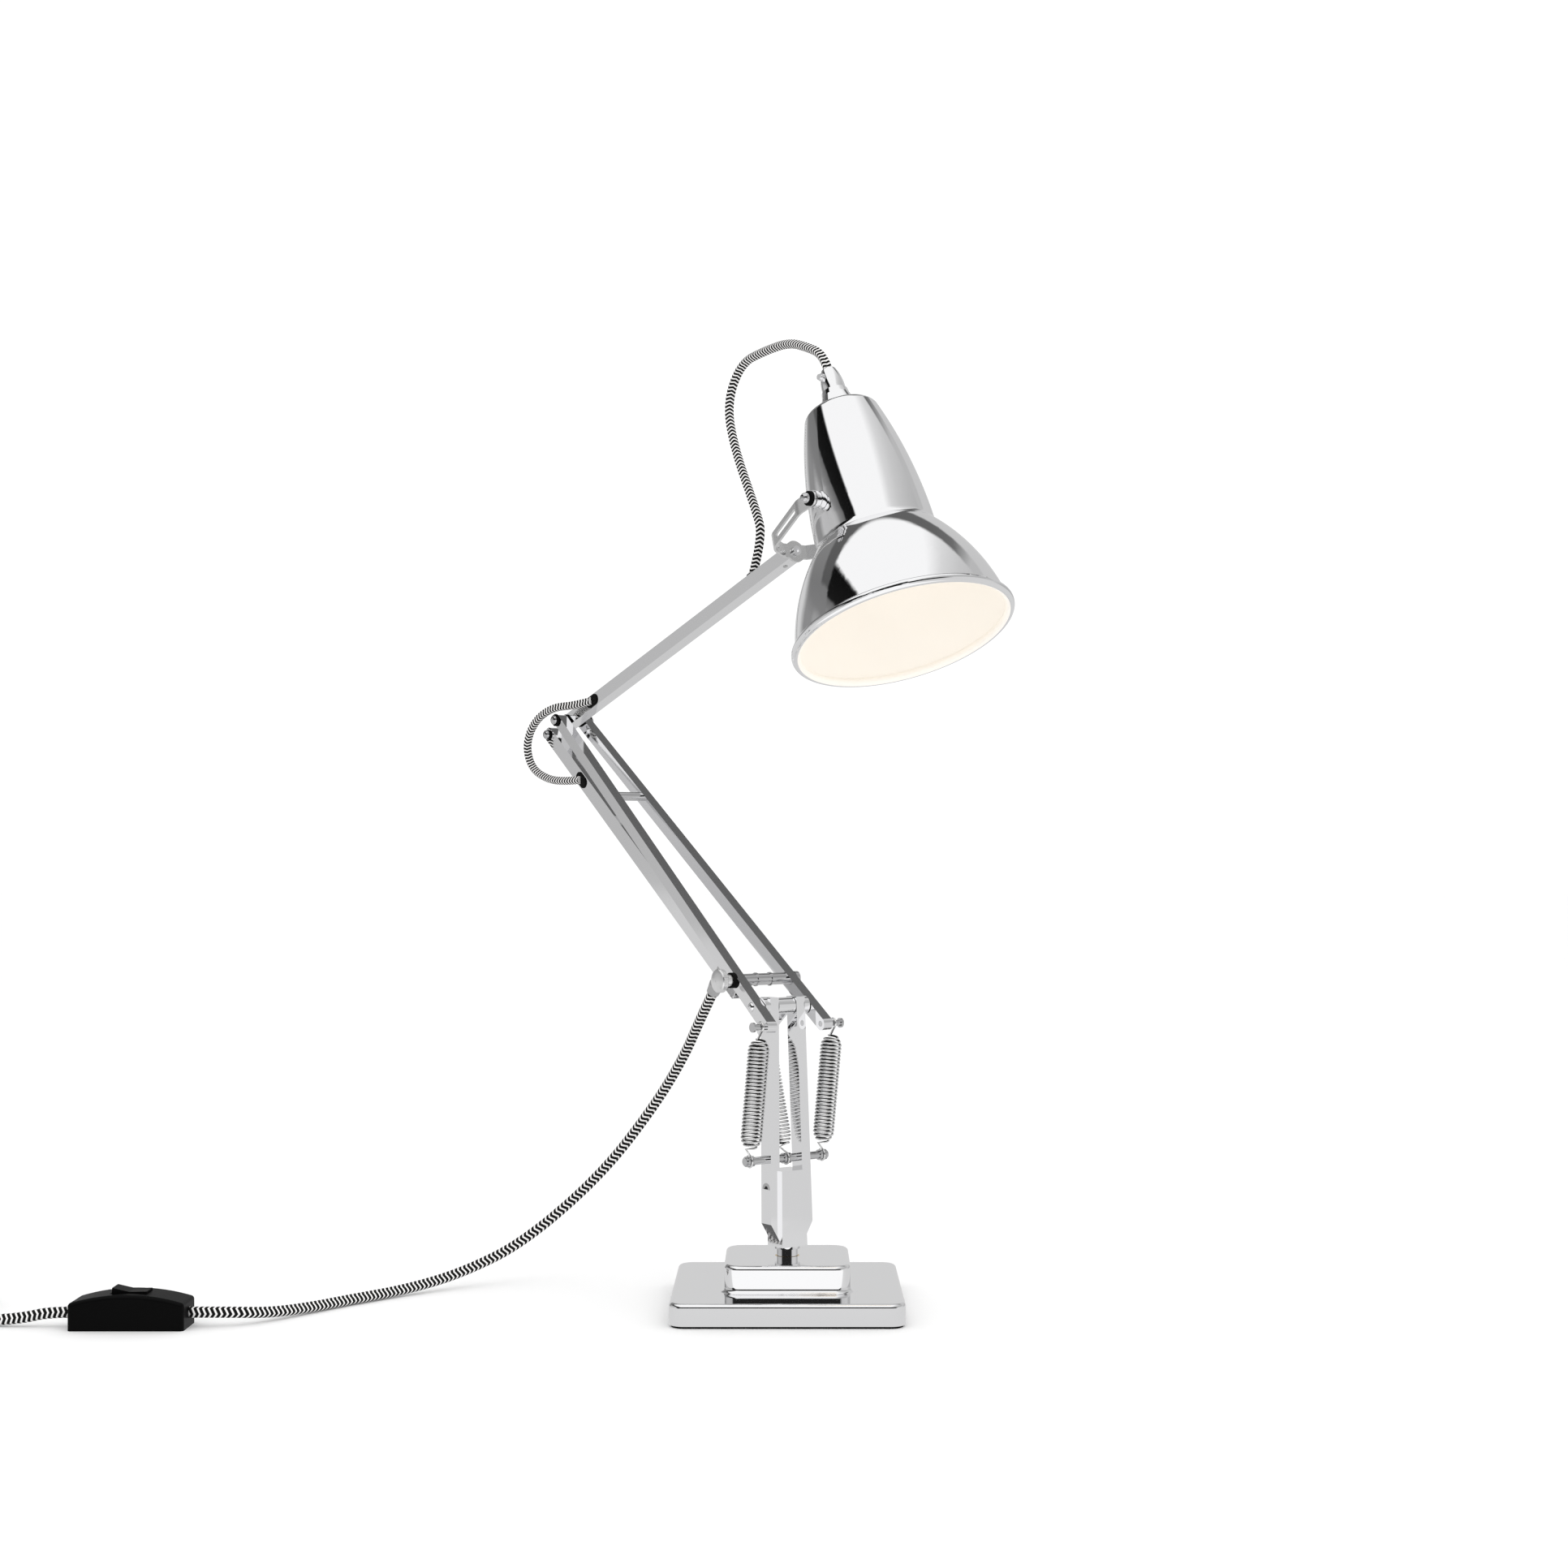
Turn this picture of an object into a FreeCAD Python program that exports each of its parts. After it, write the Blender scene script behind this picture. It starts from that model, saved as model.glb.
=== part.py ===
import FreeCAD, Part
import math
import os

from FreeCAD import Vector as V

# A sprung two-arm desk lamp: square stepped base, swivelling post, balanced arms, tilting metal shade.
# Row frame: +Z up, origin at the middle of the base's underside, front of the base towards -Y.
# Arm frame: x forwards in the arms' plane, y along the hinge axes (near side negative), z up.
# It is turned about the vertical by POST_SWIVEL - 90 degrees into the row frame.

# Rest pose, in degrees
POST_SWIVEL = 36.0
LOWER_LEAN = 53.6
UPPER_RISE = 18.9
SHADE_DROP = 66.3

# Fits and clearances
RUN_FIT = 0.05
FACE_GAP = 0.15
SIDE_GAP = 0.4
END_GAP = 0.3

# Base
BASE_SIDE = 150.0
BASE_CORNER = 10.0
PAD_INSET = 1.5
PAD_THICK = 1.5
LOWER_TIER_TOP = 15.5
UPPER_TIER_SIDE = 82.0
UPPER_TIER_CORNER = 11.0
UPPER_TIER_TOP = 33.3
TIER_EDGE = 2.6
TIER_COVE = 3.0
COVER_WALL = 1.6
SCREW_SPAN = 112.0
SCREW_R = 2.0
SCREW_HEAD_R = 3.8
SCREW_HEAD_H = 2.4
BOSS_R = 4.6
BOSS_DROP = 6.0

# Swivel spindle
SPINDLE_R = 5.0
SPINDLE_NECK_R = 7.0
SPINDLE_RING_R = 8.4
SPINDLE_RING_H = 1.8
BUSH_WALL = 3.0
BUSH_LENGTH = 13.0
NUT_ACROSS = 16.0
NUT_HEIGHT = 7.0
NUT_POCKET_R = 12.5

# Post
POST_FOOT = 40.0
BLOCK_TOP = 90.0
BLOCK_DEPTH = 16.5
POST_GAP_FOOT = 20.4
POST_GAP_PIVOT = 14.4
POST_SHIFT_FOOT = 0.4
UPRIGHT_THICK = 7.0
UPRIGHT_WIDTH = 11.0
UPRIGHT_OVER_PIVOT = 6.0
FOOT_CHAMFER = 11.0
POST_SCREW_Z = 78.0
POST_SCREW_R = 2.4
POST_SCREW_HEAD_R = 4.2
POST_SCREW_LENGTH = 14.0

# Spring rod across the post
ROD_Z = 97.4
ROD_R = 2.6
ROD_HALF = 33.5
ROD_COLLAR_R = 3.5
ROD_COLLAR_W = 1.6
SPRING_SIDE = 29.5

# Main pivot and lower arm
PIVOT_X = -5.0
PIVOT_Z = 198.0
AXLE_R = 3.0
LOWER_LENGTH = 339.6
BAR_WIDTH = 8.4
BAR_THICK = 7.3
BAR_SPAN_PIVOT = 44.0
BAR_SPAN_ELBOW = 19.8
TAIL_LENGTH = 20.0
TAIL_PIN_R = 2.0
TAIL_PIN_OUT = 8.5
SPACER_R = 6.0
TIE_AT = 28.0
TIE_R = 2.5
TIE_SLEEVE_R = 4.0
TIE_RING_R = 4.6
TOP_SPACER_FROM_ELBOW = 99.6
TOP_SPACER_R = 3.2
KNOB_R = 7.9
KNOB_THICK = 6.6
KNOB_DOME = 1.4
KNOB_EDGE = 0.7
KNOB_NECK_R = 4.0
KNOB_NECK = 5.0
KNOB_WASHER = 2.2
KNOB_WASHER_R = 5.2
KNOB_FLUTES = 36
GLAND_AT = 46.0
GLAND_BACK = 18.0
GLAND_R = 5.2
GLAND_LENGTH = 8.0
GLAND_ARM = 3.0

# Parallel link and its lever
CRANK = 16.7
CRANK_ANGLE = 219.0
LEVER_REACH = 26.5
LEVER_PLATE = 1.6
LEVER_GAP = 4.2
LEVER_WIDTH = 9.0
LEVER_HUB_R = 5.6
LEVER_PIN_R = 2.0
LINK_WIDTH = 11.0
LINK_THICK = 7.6
LINK_WALL = 0.8
LINK_NEAR_FACE = -12.9
LINK_START = 30.0
LINK_HOLE_FROM_HEAD = 60.2
STRAP_THICK = 1.5
STRAP_LAP = 16.0
LINK_BOLT_AT = 38.0
LINK_BOLT_R = 1.8

# Upper arm
UPPER_LENGTH = 302.4
TUBE_SIDE = 9.5
TUBE_WALL = 1.0
TUBE_BEHIND = 6.5
TONGUE_INSERT = 18.0
TONGUE_R = 5.4
ELBOW_PIN_R = 2.5
LINK_PIN_R = 2.2
CAP_NUT_R = 3.5
CAP_NUT_H = 3.2
ELBOW_WASHER_R = 4.6
NUT_WASHER = 1.2
GROMMET_LENGTH = 15.0
GROMMET_WIDTH = 8.4
GROMMET_PROUD = 1.0
ARM_HOLE_AT = 39.5
HEAD_HOLE_FROM_END = 48.0
HEAD_GROMMET_R = 4.4
PLUG_LENGTH = 16.0
ARM_SCREW_FROM_END = 24.0
ARM_SCREW_R = 1.6

# Yoke
YOKE_LENGTH = 80.6
YOKE_DIP = 3.3
YOKE_THICK = 1.6
YOKE_WIDTH = 9.6
YOKE_DISC_R = 7.4
YOKE_FLAT = 9.0
YOKE_BEND_X = 10.0
YOKE_BEND_Y = 25.5
YOKE_BEND_R = 18.0
YOKE_END_FLAT = 14.0
YOKE_END_R = 20.0
YOKE_SLOT = 3.2
YOKE_SLOT_FROM = 22.0
YOKE_SLOT_TO = 59.0
YOKE_SCREW_R = 2.0
YOKE_SCREW_HEAD_R = 3.2

# Shade, along its own axis from the top of the cord grip
SHADE_LENGTH = 194.3
SHADE_PIVOT_AT = 100.6
SHADE_WALL = 0.9
SHADE_TOP_AT = 29.0
SHADE_TOP_R = 12.5
SHOULDER_AT = 33.3
SHOULDER_R = 23.4
BODY_MID_AT = 78.0
BODY_MID_R = 34.3
WAIST_AT = 124.5
WAIST_R = 38.6
BELL_AT = 129.5
BELL_R = 41.2
BELL_MID_AT = 152.0
BELL_MID_R = 55.8
RIM_R = 68.4
LIP_R = 2.8
GRIP_LENGTH = 17.1
GRIP_TOP_R = 4.9
GRIP_FOOT_R = 7.7
NECK_FOOT_R = 12.2
NECK_TOP_R = 8.6
HOLDER_R = 14.5
HOLDER_LENGTH = 44.0
BULB_R = 22.0
BULB_LENGTH = 56.0
BULB_SCREW_R = 12.5
BULB_SCREW_IN = 20.0
STUD_R = 2.0
STUD_OUT = 5.0
STUD_HEAD_R = 3.3
STUD_WASHER = 1.8
STUD_WASHER_R = 4.6
RING_R = 5.4
RING_COUNT = 3
RING_STACK = 6.0

# Springs
SPRING_WIRE = 1.4
SPRING_MEAN_R = 6.5
SPRING_MID_R = 5.3
SPRING_TURNS = 30
SPRING_TAPER_TURNS = 3
SPRING_END_R = 3.1
SPRING_REACH = 5.2
HOOK_GAP = 0.4

# Cords
MAINS_R = 3.5
ARM_CORD_R = 3.0
COIL_MID_R = 38.5
COIL_PITCH = 7.5
COIL_TURNS = 6.25
COIL_CENTRE_X = -577.0
TIE_WIDTH = 8.0
TIE_WALL = 1.2

# Inline switch and plug
SWITCH_FROM_X = -451.0
SWITCH_TO_X = -378.0
SWITCH_Y = -67.0
SWITCH_WIDTH = 29.0
SWITCH_END_H = 17.0
SWITCH_MID_H = 22.5
SWITCH_EDGE = 2.5
SWITCH_CORD_Z = 9.2
LEAD_RUN = 26.0
FEED_RUN = 16.0
ROCKER_LENGTH = 22.0
ROCKER_WIDTH = 13.0
ROCKER_PROUD = 3.2
ROCKER_DEPTH = 7.0
ROCKER_TILT = 6.0
ROCKER_PIN_R = 1.5
PLUG_BODY_LENGTH = 36.0
PLUG_WIDTH = 30.0
PLUG_HEIGHT = 22.0
PLUG_RELIEF = 28.0
PLUG_RELIEF_R = 6.5
PIN_SPACING = 19.0
PIN_R = 2.0
PIN_LENGTH = 19.0

# Routes of the free cords, point by point: the mains lead in the row frame, the elbow's loop in the arm frame
# from the elbow, and the head's loop in the arm frame from the upper arm's end
MAINS_ROUTE = [
    (-59.3, 50.0, 186.0),
    (-71.5, 68.0, 158.0),
    (-93.0, 86.0, 122.0),
    (-130.5, 95.0, 73.0),
    (-183.0, 83.0, 28.0),
    (-222.0, 64.0, 10.5),
    (-256.0, 36.0, 4.0),
    (-290.0, 0.0, 3.7),
    (-310.5, -25.5, 3.8),
    (-331.0, -50.5, 5.5),
]
ELBOW_ROUTE = [
    (22.3, -11.0, 10.0),
    (1.3, -18.0, 9.5),
    (-19.7, -21.5, 0.0),
    (-31.2, -22.5, -17.5),
    (-22.7, -22.5, -36.0),
    (-0.7, -21.0, -45.0),
    (19.3, -18.0, -47.0),
]
HEAD_ROUTE = [
    (-35.7, 0.0, 14.3),
    (-43.6, 0.0, 32.8),
    (-69.5, 0.0, 78.7),
    (-78.2, 0.0, 110.5),
    (-61.6, 0.0, 135.1),
    (-33.3, 0.0, 138.5),
    (-5.6, 0.0, 139.2),
    (14.5, 0.0, 132.5),
    (31.5, 0.0, 124.8),
]

Y_AXIS = V(0, 1, 0)
Z_AXIS = V(0, 0, 1)
ORIGIN = V(0, 0, 0)


# Frames

def swivelled(shape):
    """From the arm frame into the row frame."""
    return shape.rotated(ORIGIN, Z_AXIS, POST_SWIVEL - 90.0)


def swivelled_point(x, y, z):
    turn = math.radians(POST_SWIVEL - 90.0)
    return V(x * math.cos(turn) - y * math.sin(turn), x * math.sin(turn) + y * math.cos(turn), z)


def leaned(shape, lean, at):
    """From a member's own frame (z along it) into the arm frame, leaning forwards by lean degrees."""
    return shape.rotated(ORIGIN, Y_AXIS, lean).translated(at)


def leaned_point(x, y, z, lean, at):
    a = math.radians(lean)
    return V(x * math.cos(a) + z * math.sin(a), y, z * math.cos(a) - x * math.sin(a)) + at


TOP_SPACER_AT = LOWER_LENGTH - TOP_SPACER_FROM_ELBOW
LINK_HOLE_AT = LOWER_LENGTH - LINK_HOLE_FROM_HEAD
HEAD_HOLE_AT = UPPER_LENGTH - HEAD_HOLE_FROM_END
PIVOT = V(PIVOT_X, 0, PIVOT_Z)
ELBOW = leaned_point(0, 0, LOWER_LENGTH, -LOWER_LEAN, PIVOT)
CRANK_DIR = V(math.cos(math.radians(CRANK_ANGLE)), 0, math.sin(math.radians(CRANK_ANGLE)))
LINK_FOOT = PIVOT + CRANK_DIR * CRANK
LINK_HEAD = ELBOW + CRANK_DIR * CRANK
UPPER_LEAN = 90.0 - UPPER_RISE
ARM_END = leaned_point(0, 0, UPPER_LENGTH, UPPER_LEAN, ELBOW)
YOKE_LEAN = UPPER_LEAN + YOKE_DIP
SHADE_PIVOT = leaned_point(0, 0, YOKE_LENGTH, YOKE_LEAN, ARM_END)
SHADE_LEAN = 90.0 + SHADE_DROP
SHADE_TOP = leaned_point(0, 0, -SHADE_PIVOT_AT, SHADE_LEAN, SHADE_PIVOT)


# Basic shapes

def box(x0, x1, y0, y1, z0, z1):
    return Part.makeBox(x1 - x0, y1 - y0, z1 - z0, V(x0, y0, z0))


def rod_y(r, y0, y1, x=0.0, z=0.0):
    return Part.makeCylinder(r, y1 - y0, V(x, y0, z), Y_AXIS)


def disc(r, z0, z1, x=0.0, y=0.0):
    return Part.makeCylinder(r, z1 - z0, V(x, y, z0), Z_AXIS)


def fused(shapes):
    return shapes[0].fuse(shapes[1:]).removeSplitter()


def vertical(edge):
    return edge.tangentAt(edge.FirstParameter).cross(Z_AXIS).Length < 1e-6


def at_height(edge, z):
    return all(abs(v.Z - z) < 1e-6 for v in edge.Vertexes)


def slab(side, corner, z0, z1):
    """A square slab about the z axis with rounded corners."""
    block = box(-side / 2, side / 2, -side / 2, side / 2, z0, z1)
    return block.makeFillet(corner, [e for e in block.Edges if vertical(e)])


def revolved(points, arcs=()):
    """A solid of revolution about z from (z, r) points; arcs maps an index to the via point before it."""
    vias = dict(arcs)
    edges = []
    corners = [V(r, 0, z) for z, r in points]
    for i, here in enumerate(corners):
        following = (i + 1) % len(corners)
        there = corners[following]
        if following in vias:
            z, r = vias[following]
            edges.append(Part.Arc(here, V(r, 0, z), there).toShape())
        else:
            edges.append(Part.LineSegment(here, there).toShape())
    return Part.Face(Part.Wire(edges)).revolve(ORIGIN, Z_AXIS, 360)


def dome(r, height, z):
    """A shallow spherical cap of radius r standing on the level z."""
    ball_r = (r * r + height * height) / (2 * height)
    ball = Part.makeSphere(ball_r, V(0, 0, z + height - ball_r))
    return ball.common(disc(r, z, z + 2 * height))


def plate(outline, y0, y1):
    """A plate between y0 and y1 from a closed outline of (x, z) points."""
    corners = [V(x, y0, z) for x, z in outline]
    return Part.Face(Part.makePolygon(corners + corners[:1])).extrude(V(0, y1 - y0, 0))


def stadium(width, z0, z1, y0, y1):
    """A bar in the xz plane with full round ends centred on z0 and z1."""
    body = box(-width / 2, width / 2, y0, y1, z0, z1)
    ends = [rod_y(width / 2, y0, y1, 0, z) for z in (z0, z1)]
    return fused([body] + ends)


def hexagon(across, z0, z1):
    r = across / math.sqrt(3)
    corners = [V(r * math.cos(k * math.pi / 3), r * math.sin(k * math.pi / 3), z0) for k in range(7)]
    return Part.Face(Part.makePolygon(corners)).extrude(V(0, 0, z1 - z0))


def grommet_plug(length, width, depth):
    """An oval plug lying along z, its outer face towards -y at depth."""
    oval = stadium(width, -(length - width) / 2, (length - width) / 2, -depth, 0)
    return oval.makeFillet(GROMMET_PROUD * 0.6, [e for e in oval.Edges if all(abs(v.Y + depth) < 1e-6
                                                                             for v in e.Vertexes)])


# Tubes along arcs

def arc_to(p0, t0, p1):
    """The edge that leaves p0 along t0 and ends at p1."""
    chord = p1 - p0
    along = V(chord).normalize()
    side = t0 - along * t0.dot(along)
    if side.Length < 1e-7:
        return Part.LineSegment(p0, p1).toShape()
    turn = math.atan2(side.Length, t0.dot(along))
    rise = chord.Length / 2 * math.tan(turn / 2)
    return Part.Arc(p0, p0 + chord * 0.5 + side.normalize() * rise, p1).toShape()


def biarc(p0, t0, p1, t1):
    """Two tangent arcs from p0 along t0 to p1 along t1."""
    v = p1 - p0
    t = t0 + t1
    a = 2 * (1 - t0.dot(t1))
    b = v.dot(t)
    if a < 1e-9:
        d = v.dot(v) / (2 * b)
    else:
        d = (-b + math.sqrt(b * b + a * v.dot(v))) / a
    middle = (p0 + t0 * d + p1 - t1 * d) * 0.5
    leave = V(p1 - t1 * d - middle).normalize()
    return [arc_to(p0, t0, middle), arc_to(middle, leave, p1)]


def swept(edges, r, name):
    """A round tube along tangent edges, with its volume compared with section times length."""
    path = Part.Wire(edges)
    first = edges[0]
    start = first.valueAt(first.FirstParameter)
    heading = first.tangentAt(first.FirstParameter)
    section = Part.Wire(Part.makeCircle(r, start, heading))
    tube = path.makePipeShell([section], True, False)
    solid = Part.Solid(tube) if tube.ShapeType == "Shell" else tube
    share = solid.Volume / (math.pi * r * r * path.Length)
    print("%s: length %.1f mm, volume share %.4f" % (name, path.Length, share))
    return solid


def knots_to_edges(knots):
    edges = []
    for (p0, t0), (p1, t1) in zip(knots, knots[1:]):
        edges.extend(biarc(p0, t0, p1, t1))
    return edges


def least_gap(edges, r, apart):
    """The least gap between stretches of one tube that lie further apart than apart along it."""
    samples = []
    run = 0.0
    for edge in edges:
        count = max(2, int(edge.Length / (0.4 * r)))
        for p in edge.discretize(count + 1)[:-1]:
            samples.append((run, p))
            run += edge.Length / count
    least = float("inf")
    for i, (here, p) in enumerate(samples):
        for there, q in samples[i + 1:]:
            if there - here > apart:
                least = min(least, p.distanceToPoint(q))
    return least - 2 * r


def route_tube(points, r, name):
    """A tube along straight runs joined by tangent arcs as large as the runs allow."""
    edges = []
    radii = []
    last = points[0]
    for before, here, after in zip(points, points[1:], points[2:]):
        back = V(before - here)
        ahead = V(after - here)
        shorter = min(back.Length, ahead.Length)
        half = (math.pi - back.getAngle(ahead)) / 2
        reach = 0.45 * shorter
        radii.append(reach / math.tan(half))
        start = here + back.normalize() * reach
        end = here + ahead.normalize() * reach
        edges.append(Part.LineSegment(last, start).toShape())
        edges.append(arc_to(start, V(here - start).normalize(), end))
        last = end
    edges.append(Part.LineSegment(last, points[-1]).toShape())
    print("%s: radii %s mm" % (name, " ".join("%.0f" % v for v in radii)))
    return swept(edges, r, name)


# Saving

def save(name, shape):
    shape.exportStep("parts/%s.step" % name)


def save_arm(name, shape):
    save(name, swivelled(shape))


def group(shapes):
    return Part.makeCompound(shapes)


# Base

def base_cavity(gap):
    """The inside of the cover, drawn in by gap."""
    inset = 2 * (COVER_WALL + gap)
    low = slab(BASE_SIDE - inset, BASE_CORNER - COVER_WALL - gap, PAD_THICK, LOWER_TIER_TOP - COVER_WALL - gap)
    high = slab(UPPER_TIER_SIDE - inset, UPPER_TIER_CORNER - COVER_WALL - gap, PAD_THICK,
                UPPER_TIER_TOP - COVER_WALL - gap)
    return low.fuse(high)


def screw_places():
    half = SCREW_SPAN / 2
    return [(x, y) for x in (-half, half) for y in (-half, half)]


def make_base():
    low = slab(BASE_SIDE, BASE_CORNER, PAD_THICK, LOWER_TIER_TOP)
    low = low.makeFillet(TIER_EDGE, [e for e in low.Edges if at_height(e, LOWER_TIER_TOP)])
    high = slab(UPPER_TIER_SIDE, UPPER_TIER_CORNER, LOWER_TIER_TOP - COVER_WALL, UPPER_TIER_TOP)
    high = high.makeFillet(TIER_EDGE, [e for e in high.Edges if at_height(e, UPPER_TIER_TOP)])
    outer = low.fuse(high).removeSplitter()
    limit = UPPER_TIER_SIDE / 2 + 0.1
    foot = [e for e in outer.Edges if at_height(e, LOWER_TIER_TOP)
            and all(abs(v.X) < limit and abs(v.Y) < limit for v in e.Vertexes)]
    outer = outer.makeFillet(TIER_COVE, foot)
    cover = outer.cut(base_cavity(0.0))
    roof = LOWER_TIER_TOP - COVER_WALL
    bosses = [disc(BOSS_R, roof - BOSS_DROP, roof, x, y) for x, y in screw_places()]
    cover = fused([cover] + bosses)
    threads = [disc(SCREW_R, roof - BOSS_DROP, roof - 1.0, x, y) for x, y in screw_places()]
    bush_r = SPINDLE_R + RUN_FIT + BUSH_WALL
    bush_hole = disc(bush_r, 0, UPPER_TIER_TOP)
    cover = cover.cut(group(threads + [bush_hole]))
    save("base_cover", cover)

    weight = base_cavity(SIDE_GAP)
    bush_foot = UPPER_TIER_TOP - BUSH_LENGTH
    pocket = disc(NUT_POCKET_R, 0, bush_foot)
    clear = [disc(BOSS_R + SIDE_GAP, roof - BOSS_DROP - SIDE_GAP, roof, x, y) for x, y in screw_places()]
    holes = [disc(SCREW_R + SIDE_GAP, 0, roof, x, y) for x, y in screw_places()]
    heads = [disc(SCREW_HEAD_R + SIDE_GAP, 0, PAD_THICK + SCREW_HEAD_H, x, y) for x, y in screw_places()]
    weight = weight.cut(group(clear + holes + heads + [bush_hole, pocket]))
    save("base_weight", weight)

    screws = []
    for x, y in screw_places():
        shank = disc(SCREW_R, PAD_THICK + SCREW_HEAD_H, roof - 1.5, x, y)
        head = disc(SCREW_HEAD_R, PAD_THICK, PAD_THICK + SCREW_HEAD_H, x, y)
        screws.append(shank.fuse(head).removeSplitter())
    save("base_screws", group(screws))

    save("base_pad", slab(BASE_SIDE - 2 * PAD_INSET, BASE_CORNER - PAD_INSET, 0, PAD_THICK))

    bush = disc(bush_r, bush_foot, UPPER_TIER_TOP).cut(disc(SPINDLE_R + RUN_FIT, 0, UPPER_TIER_TOP))
    save("swivel_bush", bush)


# Post

def post_section(z, y0, y1, width):
    """A level rectangle across the post at height z, following its backward lean."""
    share = (z - POST_FOOT) / (PIVOT_Z - POST_FOOT)
    x = POST_SHIFT_FOOT + (PIVOT_X - POST_SHIFT_FOOT) * share
    x0 = x - width / 2
    x1 = x + width / 2
    corners = [V(x0, y0, z), V(x1, y0, z), V(x1, y1, z), V(x0, y1, z)]
    return Part.makePolygon(corners + corners[:1])


def post_half_gap(z):
    share = (z - POST_FOOT) / (PIVOT_Z - POST_FOOT)
    return (POST_GAP_FOOT + (POST_GAP_PIVOT - POST_GAP_FOOT) * share) / 2


def post_x(z):
    return POST_SHIFT_FOOT + (PIVOT_X - POST_SHIFT_FOOT) * (z - POST_FOOT) / (PIVOT_Z - POST_FOOT)


def upright(side):
    """One upright, on the near (-1) or far (+1) side."""
    top = PIVOT_Z + UPRIGHT_OVER_PIVOT
    wires = []
    for z in (POST_FOOT, top):
        inner = post_half_gap(z)
        y0, y1 = sorted((side * inner, side * (inner + UPRIGHT_THICK)))
        wires.append(post_section(z, y0, y1, UPRIGHT_WIDTH))
    bar = Part.makeLoft(wires, True, True)
    outer = post_half_gap(POST_FOOT) + UPRIGHT_THICK
    wedge = plate_yz([(outer + 1, POST_FOOT - 1), (outer + 1, POST_FOOT + FOOT_CHAMFER * 1.6),
                      (outer - FOOT_CHAMFER * 0.9, POST_FOOT - 1)], side)
    bar = bar.cut(wedge)
    bar = bar.cut(rod_y(AXLE_R, -100, 100, PIVOT_X, PIVOT_Z))
    bar = bar.cut(rod_y(ROD_R, -100, 100, post_x(ROD_Z), ROD_Z))
    return bar.cut(post_screw(side, RUN_FIT))


def plate_yz(outline, side):
    """A block across x from an outline of (y, z) points on one side of the post."""
    reach = UPRIGHT_WIDTH * 2
    corners = [V(-reach, side * y, z) for y, z in outline]
    return Part.Face(Part.makePolygon(corners + corners[:1])).extrude(V(2 * reach, 0, 0))


def post_screw(side, gap):
    """A countersunk socket screw from the outside of an upright into the block."""
    face = post_half_gap(POST_SCREW_Z) + UPRIGHT_THICK
    x = post_x(POST_SCREW_Z)
    cone = Part.makeCone(POST_SCREW_HEAD_R + gap, POST_SCREW_R + gap, POST_SCREW_HEAD_R - POST_SCREW_R,
                         V(x, side * face, POST_SCREW_Z), V(0, -side, 0))
    foot = V(x, side * face, POST_SCREW_Z)
    shank = Part.makeCylinder(POST_SCREW_R + gap, POST_SCREW_LENGTH, foot, V(0, -side, 0))
    return cone.fuse(shank).removeSplitter()


def hex_socket(r, depth):
    return hexagon(r * 1.7, -depth, 0)


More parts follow.
